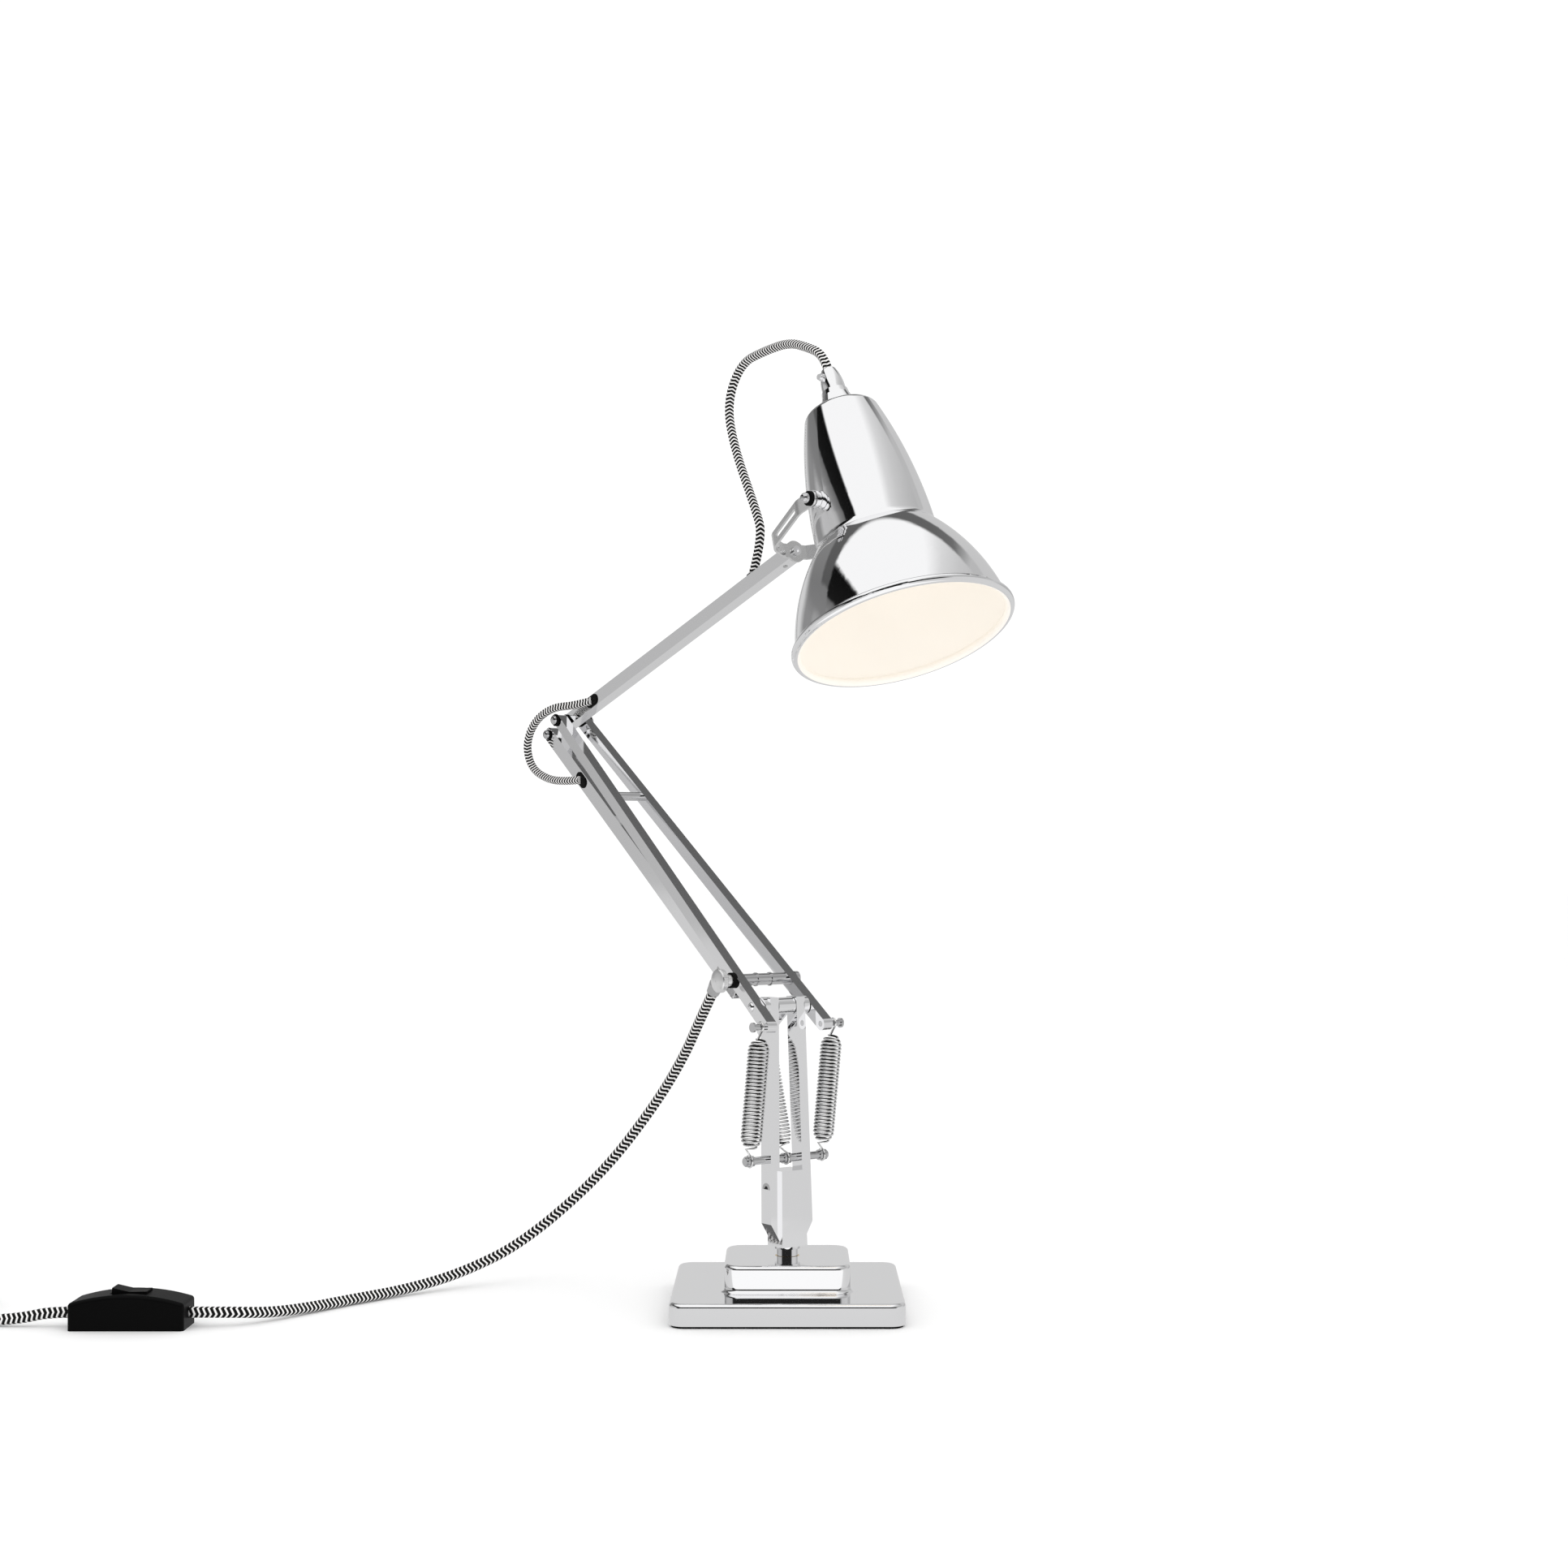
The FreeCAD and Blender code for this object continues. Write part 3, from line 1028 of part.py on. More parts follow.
def make_shade():
    pivot_hole = rod_y(STUD_R, -100, 100, 0, SHADE_PIVOT_AT)
    shell = shade_shell(0, WAIST_AT)
    save_arm("shade", on_shade(shell.cut(pivot_hole)))
    save_arm("shade_bell", on_shade(shade_shell(WAIST_AT, SHADE_LENGTH + LIP_R)))

    surface = shade_radius_at_pivot()
    leg_in = surface + RING_STACK + FACE_GAP
    leg_out = leg_in + YOKE_THICK
    studs = []
    rings = []
    washers = []
    for side in (-1, 1):
        inside = surface - SHADE_WALL - 2.0
        tip = leg_out + FACE_GAP + STUD_WASHER + STUD_OUT
        y0, y1 = sorted((side * inside, side * (tip - 0.5)))
        stud = rod_y(STUD_R, y0, y1, 0, SHADE_PIVOT_AT)
        nut = cap_nut(STUD_HEAD_R, STUD_OUT, side * (tip - STUD_OUT), side).translated(V(0, 0, SHADE_PIVOT_AT))
        lock = rod_y(STUD_HEAD_R, min(y0, y1), max(y0, y1), 0, SHADE_PIVOT_AT)
        lock = lock.common(rod_y(STUD_HEAD_R, -inside - 0.8, inside + 0.8, 0, SHADE_PIVOT_AT))
        studs.append(fused([stud, nut, lock.cut(shell)]))
        step = RING_STACK / RING_COUNT
        for k in range(RING_COUNT):
            start = surface + k * step
            r0, r1 = sorted((side * (start - (1.2 if k == 0 else 0.0)), side * (start + step - FACE_GAP)))
            r = RING_R - 0.5 * (k % 2)
            ring = rod_y(r, r0, r1, 0, SHADE_PIVOT_AT).cut(pivot_hole)
            rings.append(ring.cut(shell))
        w0, w1 = sorted((side * (leg_out + FACE_GAP), side * (leg_out + FACE_GAP + STUD_WASHER)))
        washers.append(rod_y(STUD_WASHER_R, w0, w1, 0, SHADE_PIVOT_AT).cut(pivot_hole))
    save_arm("shade_studs", on_shade(group(studs)))
    save_arm("shade_rings", on_shade(group(rings)))
    save_arm("stud_washers", on_shade(group(washers)))

    neck = revolved([(GRIP_LENGTH, 0), (GRIP_LENGTH, NECK_TOP_R), (GRIP_LENGTH + 3.5, NECK_TOP_R + 0.6),
                     (SHADE_TOP_AT, NECK_FOOT_R), (SHADE_TOP_AT + SHADE_WALL + 4, NECK_FOOT_R),
                     (SHADE_TOP_AT + SHADE_WALL + 4, 0)])
    save_arm("neck_cup", on_shade(neck))
    grip = revolved([(0, 0), (0, GRIP_TOP_R - 0.8), (0.8, GRIP_TOP_R), (GRIP_LENGTH - 1.5, GRIP_FOOT_R),
                     (GRIP_LENGTH - 0.3, GRIP_FOOT_R), (GRIP_LENGTH - 0.3, 0)],
                    {3: (GRIP_LENGTH * 0.45, GRIP_FOOT_R - 0.7)})
    lug = Part.makeCylinder(2.4, 4.0, V(0, -GRIP_FOOT_R + 3.2, GRIP_LENGTH * 0.4), V(0, -1, 0))
    screw_hole = Part.makeCylinder(1.2, 12.0, V(0, 0, GRIP_LENGTH * 0.4), V(0, -1, 0))
    grip = fused([grip, lug]).cut(screw_hole)
    screw = fused([Part.makeCylinder(1.2, GRIP_FOOT_R + 0.8, V(0, 0, GRIP_LENGTH * 0.4), V(0, -1, 0)),
                   Part.makeCylinder(1.9, 1.4, V(0, -GRIP_FOOT_R - 0.8, GRIP_LENGTH * 0.4), V(0, -1, 0))])
    save_arm("cord_grip", on_shade(group([grip, screw])))

    holder_from = SHADE_TOP_AT + SHADE_WALL + 4
    holder_to = holder_from + HOLDER_LENGTH
    socket = disc(BULB_SCREW_R + SIDE_GAP, holder_to - BULB_SCREW_IN - SIDE_GAP, holder_to + 1)
    save_arm("lampholder", on_shade(disc(HOLDER_R, holder_from, holder_to).cut(socket)))
    top = holder_to - BULB_SCREW_IN
    glass_top = holder_to + 1.0
    ball = glass_top + BULB_LENGTH - BULB_R
    shoulder = BULB_R * 0.8
    neck_end = ball - BULB_R * 0.6
    neck = Part.makeCone(BULB_SCREW_R, shoulder, neck_end - glass_top, V(0, 0, glass_top), Z_AXIS)
    bulb = fused([disc(BULB_SCREW_R, top, glass_top), neck, Part.makeSphere(BULB_R, V(0, 0, ball))])
    save_arm("bulb", on_shade(bulb))


# Springs

def spring_knots(foot, head, mean_r, foot_pin_r, head_pin_r):
    """Points and headings along a tension spring between two pins that lie along y."""
    axis = V(head - foot)
    span = axis.Length
    axis.normalize()
    across = Y_AXIS.cross(axis)

    def place(a, b, w):
        return foot + across * a + Y_AXIS * b + axis * w

    def direct(a, b, w):
        return V(across * a + Y_AXIS * b + axis * w).normalize()

    wire = SPRING_WIRE / 2
    foot_hook = foot_pin_r + HOOK_GAP + wire
    head_hook = head_pin_r + HOOK_GAP + wire
    start_w = foot_hook + SPRING_REACH
    end_w = span - head_hook - SPRING_REACH
    pitch = (end_w - start_w) / SPRING_TURNS

    def radius(turn):
        edge = min(turn, SPRING_TURNS - turn) / SPRING_TAPER_TURNS
        return SPRING_END_R + (mean_r - SPRING_END_R) * math.sin(min(1.0, edge) * math.pi / 2)

    def helix(turn):
        a = 2 * math.pi * turn
        r = radius(turn)
        return place(r * math.sin(a), -r * math.cos(a), start_w + pitch * turn)

    def helix_heading(turn):
        step = 1e-4
        low = max(0.0, turn - step)
        high = min(SPRING_TURNS, turn + step)
        return V(helix(high) - helix(low)).normalize()

    def hook(angle, w, r):
        a = math.radians(angle)
        return place(r * math.cos(a), 0, w + r * math.sin(a))

    knots = []
    for angle in (-235, -180, -90, 0, 60):
        a = math.radians(angle)
        knots.append((hook(angle, 0.0, foot_hook), direct(-math.sin(a), 0, math.cos(a))))
    lead_in = place(-SPRING_END_R * 0.55, -SPRING_END_R * 0.8, start_w - pitch * 0.4)
    knots.append((lead_in, direct(0.75, -0.5, 0.35)))
    quarter = [k / 4 for k in range(1, SPRING_TURNS * 4)]
    knots.extend((helix(k), helix_heading(k)) for k in quarter)
    lead_out = place(SPRING_END_R * 0.55, -SPRING_END_R * 0.8, end_w + pitch * 0.4)
    knots.append((lead_out, direct(0.75, 0.5, 0.35)))
    for angle in (-60, 0, 90, 180, 235):
        a = math.radians(angle)
        knots.append((hook(angle, span, head_hook), direct(-math.sin(a), 0, math.cos(a))))
    return knots


def make_springs():
    rod = V(post_x(ROD_Z), 0, ROD_Z)
    tail = leaned_point(0, 0, -TAIL_LENGTH, -LOWER_LEAN, PIVOT)
    lever_end = PIVOT + CRANK_DIR * LEVER_REACH
    places = (("spring_near", V(0, -SPRING_SIDE, 0), tail, SPRING_MEAN_R, TAIL_PIN_R),
              ("spring_far", V(0, SPRING_SIDE, 0), tail, SPRING_MEAN_R, TAIL_PIN_R),
              ("spring_middle", V(0, 0, 0), lever_end, SPRING_MID_R, LEVER_PIN_R))
    for name, side, head, mean_r, pin_r in places:
        edges = knots_to_edges(spring_knots(rod + side, head + side, mean_r, ROD_R, pin_r))
        print("%s: least gap %.2f mm" % (name, least_gap(edges, SPRING_WIRE / 2, 6 * SPRING_WIRE)))
        save_arm(name, swept(edges, SPRING_WIRE / 2, name))


# Cords, switch, coil and plug

def cord_end(seat, outward, following, r):
    """Where a cord ends so that its slanting end just clears a seat that faces outward."""
    slant = V(following - seat).normalize().getAngle(outward)
    return seat + outward * (END_GAP + r * math.sin(slant))


def make_arm_cords():
    route = [ELBOW + V(*p) for p in ELBOW_ROUTE]
    near = V(0, -1, 0)
    arm_seat = leaned_point(0, -TUBE_SIDE / 2 - GROMMET_PROUD, ARM_HOLE_AT, UPPER_LEAN, ELBOW)
    link_seat = leaned_point(0, LINK_NEAR_FACE - GROMMET_PROUD, LINK_HOLE_AT, -LOWER_LEAN, LINK_FOOT)
    ends = [cord_end(arm_seat, near, route[0], ARM_CORD_R), cord_end(link_seat, near, route[-1], ARM_CORD_R)]
    save_arm("cord_elbow", route_tube(ends[:1] + route + ends[1:], ARM_CORD_R, "cord_elbow"))

    route = [ARM_END + V(*p) for p in HEAD_ROUTE]
    up = leaned_point(-1, 0, 0, UPPER_LEAN, ORIGIN)
    hole_seat = leaned_point(-TUBE_SIDE / 2 - GROMMET_PROUD, 0, HEAD_HOLE_AT, UPPER_LEAN, ELBOW)
    back = leaned_point(0, 0, -1, SHADE_LEAN, ORIGIN)
    ends = [cord_end(hole_seat, up, route[0], ARM_CORD_R), cord_end(SHADE_TOP, back, route[-1], ARM_CORD_R)]
    save_arm("cord_head", route_tube(ends[:1] + route + ends[1:], ARM_CORD_R, "cord_head"))


def coil_place(turn):
    """A point on the put-away coil: in on the floor, over in half a turn, and out again on top."""
    middle = COIL_TURNS / 2
    inner = COIL_MID_R - COIL_PITCH * COIL_TURNS / 4
    r = inner + COIL_PITCH * abs(turn - middle)
    climb = min(1.0, max(0.0, (turn - middle) / 0.5 + 0.5))
    z = MAINS_R + 0.1 + COIL_PITCH * climb * climb * (3 - 2 * climb)
    a = -math.pi / 2 - 2 * math.pi * turn
    return V(COIL_CENTRE_X + r * math.cos(a), coil_centre_y() + r * math.sin(a), z)


def coil_outer_r():
    return COIL_MID_R + COIL_PITCH * COIL_TURNS / 4


def coil_centre_y():
    return SWITCH_Y + coil_outer_r()


def coil_heading(turn):
    step = 1e-4
    return V(coil_place(turn + step) - coil_place(turn - step)).normalize()


def make_mains():
    lead = [swivelled_point(*(gland_start() + gland_heading() * GLAND_LENGTH))]
    lead += [V(*p) for p in MAINS_ROUTE]
    lead += [V(SWITCH_TO_X + reach, SWITCH_Y, SWITCH_CORD_Z) for reach in (LEAD_RUN, END_GAP)]
    save("cord_mains", route_tube(lead, MAINS_R, "cord_mains"))

    turns = [k / 4 for k in range(int(COIL_TURNS * 4) + 1)]
    knots = [(coil_place(k), coil_heading(k)) for k in turns]
    first, heading = knots[0]
    last, leave = knots[-1]
    straight = 2 * MAINS_R
    edges = [Part.LineSegment(first - heading * straight, first).toShape()]
    edges += knots_to_edges(knots)
    edges.append(Part.LineSegment(last, last + leave * straight).toShape())
    print("cord_coil: least gap %.2f mm" % least_gap(edges, MAINS_R, 8 * MAINS_R))
    save("cord_coil", swept(edges, MAINS_R, "cord_coil"))

    entry = first - heading * straight
    low = MAINS_R + 0.1
    feed = [(END_GAP, 0.0, SWITCH_CORD_Z), (FEED_RUN, 0.0, SWITCH_CORD_Z), (32, 0.6, 5.4), (56, 1.2, low),
            (88, 0.4, low)]
    feed = [V(SWITCH_FROM_X - back, SWITCH_Y + aside, z) for back, aside, z in feed] + [entry]
    save("cord_feed", route_tube(feed, MAINS_R, "cord_feed"))

    tie_r = coil_outer_r() + MAINS_R
    inner_r = COIL_MID_R - COIL_PITCH * COIL_TURNS / 4 - MAINS_R
    gap = SIDE_GAP + 0.2
    top = MAINS_R * 2 + 0.1 + COIL_PITCH
    x = COIL_CENTRE_X
    y0 = coil_centre_y() + inner_r - COIL_PITCH - gap - TIE_WALL
    y1 = coil_centre_y() + tie_r + gap + TIE_WALL
    band = box(x - TIE_WIDTH / 2, x + TIE_WIDTH / 2, y0, y1, 0.0, top + gap + TIE_WALL)
    hole = box(x - TIE_WIDTH, x + TIE_WIDTH, y0 + TIE_WALL, y1 - TIE_WALL, -1.0, top + gap)
    save("coil_tie", band.cut(hole))

    make_plug(last + leave * straight)


def make_plug(at):
    """A two-pin plug lying along +y beside the coil, its strain relief meeting the cord."""
    relief = Part.makeCone(MAINS_R + 0.8, PLUG_RELIEF_R, PLUG_RELIEF, at, Y_AXIS)
    body_y = at.y + PLUG_RELIEF
    half = PLUG_HEIGHT / 2
    z0 = max(0.1, at.z - half)
    wide = PLUG_WIDTH / 2
    body_end = body_y + PLUG_BODY_LENGTH
    body = box(at.x - wide, at.x + wide, body_y, body_end, z0, z0 + PLUG_HEIGHT)
    long_edges = [e for e in body.Edges if e.tangentAt(e.FirstParameter).cross(Y_AXIS).Length < 1e-6]
    body = body.makeFillet(half * 0.7, long_edges)
    pins = []
    for side in (-1, 1):
        x = at.x + side * PIN_SPACING / 2
        pins.append(rod_y(PIN_R, body_end, body_end + PIN_LENGTH, x, z0 + half))
    save("plug_body", fused([relief, body]))
    save("plug_pins", group(pins))


def make_switch():
    x0, x1 = SWITCH_FROM_X, SWITCH_TO_X
    xm = (x0 + x1) / 2
    y0 = SWITCH_Y - SWITCH_WIDTH / 2
    corners = [V(x0, y0, 0), V(x1, y0, 0), V(x1, y0, SWITCH_END_H), V(x0, y0, SWITCH_END_H)]
    arch = Part.Arc(corners[2], V(xm, y0, SWITCH_MID_H), corners[3]).toShape()
    outline = Part.Wire([Part.LineSegment(corners[0], corners[1]).toShape(),
                         Part.LineSegment(corners[1], corners[2]).toShape(), arch,
                         Part.LineSegment(corners[3], corners[0]).toShape()])
    body = Part.Face(outline).extrude(V(0, SWITCH_WIDTH, 0))
    keep = [e for e in body.Edges if not at_height(e, 0)]
    body = body.makeFillet(SWITCH_EDGE, keep)
    hl = ROCKER_LENGTH / 2
    hw = ROCKER_WIDTH / 2
    well = box(xm - hl - SIDE_GAP * 2, xm + hl + SIDE_GAP * 2, SWITCH_Y - hw - SIDE_GAP, SWITCH_Y + hw + SIDE_GAP,
               SWITCH_MID_H - ROCKER_DEPTH - 3, SWITCH_MID_H + 5)
    pivot_z = SWITCH_MID_H - ROCKER_DEPTH / 2
    bore = rod_y(ROCKER_PIN_R + RUN_FIT, SWITCH_Y - hw - 3, SWITCH_Y + hw + 3, xm, pivot_z)
    save("switch_body", body.cut(group([well, bore])))

    paddle = [(-hl, ROCKER_DEPTH / 2 + ROCKER_PROUD - 1.0), (-hl, 0.5), (-hl * 0.5, -ROCKER_DEPTH / 2),
              (hl * 0.5, -ROCKER_DEPTH / 2), (hl, 0.5), (hl, ROCKER_DEPTH / 2 + ROCKER_PROUD - 1.0),
              (0, ROCKER_DEPTH / 2 + ROCKER_PROUD - 2.4)]
    rocker = plate(paddle, -hw, hw).fuse(rod_y(ROCKER_PIN_R, -hw - 2.5, hw + 2.5)).removeSplitter()
    rocker = rocker.rotated(ORIGIN, Y_AXIS, ROCKER_TILT)
    save("switch_rocker", rocker.translated(V(xm, SWITCH_Y, pivot_z)))


def main():
    os.makedirs("parts", exist_ok=True)
    make_base()
    make_post()
    make_lower_arm()
    make_lever()
    make_link()
    make_upper_arm()
    make_yoke()
    make_shade()
    make_springs()
    make_arm_cords()
    make_mains()
    make_switch()


main()
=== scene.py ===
import math

import bpy
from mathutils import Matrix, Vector


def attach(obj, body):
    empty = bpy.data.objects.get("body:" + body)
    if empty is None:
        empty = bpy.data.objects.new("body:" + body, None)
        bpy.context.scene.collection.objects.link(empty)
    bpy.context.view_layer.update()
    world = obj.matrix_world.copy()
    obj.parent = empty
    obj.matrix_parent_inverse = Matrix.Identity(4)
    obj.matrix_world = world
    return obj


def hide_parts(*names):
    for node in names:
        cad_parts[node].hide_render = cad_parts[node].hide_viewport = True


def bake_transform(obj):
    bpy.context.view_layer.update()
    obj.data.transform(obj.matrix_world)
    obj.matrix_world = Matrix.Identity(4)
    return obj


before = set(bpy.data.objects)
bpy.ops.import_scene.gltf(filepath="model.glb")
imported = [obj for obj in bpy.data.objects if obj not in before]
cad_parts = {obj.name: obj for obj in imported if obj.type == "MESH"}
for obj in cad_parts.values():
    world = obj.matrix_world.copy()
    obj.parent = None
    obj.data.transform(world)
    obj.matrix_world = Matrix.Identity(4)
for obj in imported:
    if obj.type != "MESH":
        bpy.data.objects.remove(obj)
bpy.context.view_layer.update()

# Lengths are in metres and angles in degrees, unless said otherwise.

# The photograph's camera: level and straight ahead. The frame's side, focal length and middle are in pixels.
PHOTO_SIDE = 1932
PHOTO_FOCAL = 2803
PHOTO_PRINCIPAL = (970, 1046)
CAMERA_AT = (0.0, -1.505, 0.302)
SENSOR_MM = 36.0

# The rest pose, and the pivots in the arms' plane.
POST_SWIVEL = 36.0
LOWER_LEAN = 53.6
UPPER_RISE = 18.9
YOKE_DIP = 3.3
SHADE_DROP = 66.3
CRANK_ANGLE = 219.0
PIVOT = Vector((-0.005, 0, 0.198))
LOWER_LENGTH = 0.3396
CRANK = 0.0167
UPPER_LENGTH = 0.3024
YOKE_LENGTH = 0.0806
SHADE_PIVOT_AT = 0.1006

# The cords' thickness and their seats on the arms.
MAINS_R = 0.0035
ARM_CORD_R = 0.003
TUBE_HALF = 0.00475
GROMMET_PROUD = 0.001
ARM_HOLE_AT = 0.0395
HEAD_HOLE_AT = 0.2544
LINK_NEAR_FACE = -0.0129
LINK_HOLE_AT = 0.2794
CORD_SIDES = 24
CORD_STEPS = 14

# The mains lead and the feed, in the shared frame.
GLAND_END = (-0.05027, 0.03527, 0.2049)
MAINS_ROUTE = [
    (-0.0593, 0.050, 0.186),
    (-0.0715, 0.068, 0.158),
    (-0.093, 0.086, 0.122),
    (-0.1305, 0.095, 0.073),
    (-0.183, 0.083, 0.028),
    (-0.222, 0.064, 0.0105),
    (-0.256, 0.036, 0.0040),
    (-0.290, 0.000, 0.0037),
    (-0.3105, -0.0255, 0.0038),
    (-0.331, -0.0505, 0.0055),
    (-0.352, -0.067, 0.0092),
]
SWITCH_RIGHT = (-0.3777, -0.067, 0.0092)
SWITCH_LEFT = (-0.4513, -0.067, 0.0092)
FEED_ROUTE = [
    (-0.467, -0.067, 0.0092),
    (-0.483, -0.0664, 0.0054),
    (-0.507, -0.0658, 0.0036),
    (-0.539, -0.0666, 0.0036),
]

# The put-away coil: two flat layers, with COIL_CLIMB of a turn from one to the other.
COIL_MID_R = 0.0385
COIL_PITCH = 0.0075
COIL_TURNS = 6.25
COIL_CLIMB = 0.5
COIL_CENTRE_X = -0.577
COIL_LIFT = 0.0001
COIL_POINTS = 16
COIL_SIDES = 20
COIL_STEPS = 7

# The arm cords' loops, in the arms' frame. The head's is counted from the upper arm's end, and HEAD_SPLIT is
# the share of its length where its two pieces meet.
ELBOW_ROUTE = [
    (-0.256, -0.011, 0.4095),
    (-0.277, -0.018, 0.409),
    (-0.298, -0.0215, 0.3995),
    (-0.3095, -0.0225, 0.382),
    (-0.301, -0.0225, 0.3635),
    (-0.279, -0.021, 0.3545),
    (-0.259, -0.018, 0.3525),
]
HEAD_ROUTE = [
    (-0.0357, 0.0, 0.0143),
    (-0.0436, 0.0, 0.0328),
    (-0.0695, 0.0, 0.0787),
    (-0.0782, 0.0, 0.1105),
    (-0.0616, 0.0, 0.1351),
    (-0.0333, 0.0, 0.1385),
    (-0.0056, 0.0, 0.1392),
    (0.0145, 0.0, 0.1325),
    (0.0315, 0.0, 0.1248),
]
HEAD_SPLIT = 0.45

# The springs, from the post's rod up to pins on the lower arm's tail and on the lever.
ROD_AT = Vector((-0.00156, 0, 0.0974))
ROD_R = 0.0026
PIN_R = 0.002
TAIL_LENGTH = 0.020
LEVER_REACH = 0.0265
SPRING_SIDE = 0.0295
OUTER_SPRING_R = 0.0065
MIDDLE_SPRING_R = 0.0053
SPRING_WIRE = 0.0014
SPRING_TURNS = 30
SPRING_TAPER = 3
SPRING_END_R = 0.0031
SPRING_REACH = 0.0052
SPRING_STEPS = 20
WIRE_SIDES = 12

# A hook's clearance, its arc, and the bend from the hook into the coils.
HOOK_GAP = 0.0004
HOOK_LAP = 235
HOOK_TIP = 60
HOOK_STEP = 12
BEND_ACROSS = 0.55 * SPRING_END_R
BEND_ASIDE = 0.8 * SPRING_END_R
BEND_PITCHES = 0.4

# Where painted shade starts on the springs' wire (more of it on the middle spring, between the uprights) and
# where the enamel starts in the shade, by the cosine between a face and the way out from their axis.
OUTER_SHADED = 0.0
MIDDLE_SHADED = 0.5
ENAMEL_INWARDS = -0.15

# The base's upper tier: where it starts above the table, the cosine from which a face counts as level, and
# the slope that its walls seem to have.
TIER_FROM = 0.0157
TIER_LEVEL = 0.95
WALL_LEAN = 0.06

# The plating's blue against its red and green, and the grain of each material as scale per metre and detail.
CHROME_BLUE = 1.01
SMEARS = (38.0, 6.0)
DRAWN_LINES = (420.0, 3.0)
PLASTIC_GRAIN = (900.0, 3.0)
RUBBER_GRAIN = (700.0, 3.0)
CAST_GRAIN = (160.0, 8.0)
BRASS_STAINS = (120.0, 4.0)
ENAMEL_CLOUDS = (60.0, 4.0)
FLOOR_CLOUDS = (3.0, 4.0)
BRAID_FUZZ = (2600.0, 2.0)

# The braid: zigzags round the cord, threads in each, ribs along each band, and the soft edge between tones.
BRAID_ZIGZAGS = 3.0
BRAID_THREADS = 4
BRAID_RIBS = 2
BRAID_EDGE = (0.285, 0.325)

# The ceiling that the chrome sees, as tones at places from left to right, in ceiling heights from above the
# object: the stretch with the light box, the one behind it and the one far behind, with one tone in front of
# the box. The pairs are the soft edges between these, counted backwards.
OVERHEAD = [
    (-5.0, 0.54), (-3.0, 0.53), (-2.6, 0.45), (-2.3, 0.26), (-1.85, 0.15), (-1.75, 0.01), (-1.06, 0.005),
    (-0.98, 1.02), (0.28, 1.02), (0.48, 0.74), (0.7, 0.62), (1.0, 0.53), (1.3, 0.47), (5.0, 0.46),
]
OVER_BACK = [(-5.0, 0.30), (-1.6, 0.20), (-1.5, 0.10), (0.4, 0.13), (0.62, 0.16), (0.85, 0.52), (5.0, 0.50)]
OVER_FAR = [(-5.0, 0.30), (-1.6, 0.20), (-0.6, 0.24), (0.0, 0.60), (5.0, 0.60)]
OVER_FRONT = 0.015
BOX_FRONT = (-1.9, -1.6)
BOX_BACK = (0.46, 0.58)
FAR_BACK = (0.92, 1.10)

# The walls that it sees, at each turn from behind (-180), left (-90), camera (0) and right (90) to behind
# (180), and the soft edge between walls and ceiling, by the upward part of the direction. That part counts as
# LEAST_RISE at least.
AROUND = [
    (-180, 0.66), (-150, 0.66), (-138, 0.28), (-124, 0.28), (-114, 0.54), (-84, 0.50), (-64, 0.42),
    (-58, 0.02), (44, 0.02), (56, 0.68), (100, 0.68), (122, 0.48), (150, 0.50), (168, 0.66), (180, 0.66),
]
WALL_TOP = (0.24, 0.36)
LEAST_RISE = 0.02

# The floor as the chrome sees it, painted by metres behind the object's middle: a bright painted pool of
# light in front, painted shade from there backwards and beside the pool, and the soft edge at the pool's
# sides.
FLOOR_PAINTED_SHADE = 0.69
FLOOR_LIGHT_AND_SHADE = [(-1.6, 1.06), (-0.19, 1.06), (-0.165, 0.74), (0.0, FLOOR_PAINTED_SHADE), (1.6, 0.60)]
PAINTED_POOL_SIDE = (0.35, 0.55)

# The floor and the white round it as the camera sees them, and the lights: name, place, width and watts.
FLOOR_HALF = 14.0
FLOOR_WHITES = (0.955, 0.965)
EYE_WHITE = 1.07
LIGHTS = (
    ("overhead", (0.2, -0.3, 1.9), 1.8, 3.0),
    ("front", (0.9, -1.7, 1.1), 1.2, 2.0),
)
LIGHTS_AIM = Vector((0.0, 0.0, 0.25))


# Places

def shared(x, y, z):
    """From the arms' frame (x forwards in their plane, y along the hinges) into the shared frame."""
    turn = math.radians(POST_SWIVEL - 90)
    return Vector((x * math.cos(turn) - y * math.sin(turn), x * math.sin(turn) + y * math.cos(turn), z))


def leaned(x, y, z, lean, at):
    """From a member's own frame into the arms' frame."""
    a = math.radians(lean)
    return Vector((x * math.cos(a) + z * math.sin(a), y, z * math.cos(a) - x * math.sin(a))) + at


UPPER_LEAN = 90 - UPPER_RISE
YOKE_LEAN = UPPER_LEAN + YOKE_DIP
SHADE_LEAN = 90 + SHADE_DROP
ELBOW = leaned(0, 0, LOWER_LENGTH, -LOWER_LEAN, PIVOT)
CRANK_DIR = Vector((math.cos(math.radians(CRANK_ANGLE)), 0, math.sin(math.radians(CRANK_ANGLE))))
LINK_FOOT = PIVOT + CRANK_DIR * CRANK
ARM_END = leaned(0, 0, UPPER_LENGTH, UPPER_LEAN, ELBOW)
SHADE_PIVOT = leaned(0, 0, YOKE_LENGTH, YOKE_LEAN, ARM_END)
SHADE_TOP = leaned(0, 0, -SHADE_PIVOT_AT, SHADE_LEAN, SHADE_PIVOT)
SHADE_AXIS = leaned(0, 0, 1, SHADE_LEAN, Vector((0, 0, 0)))


# Materials

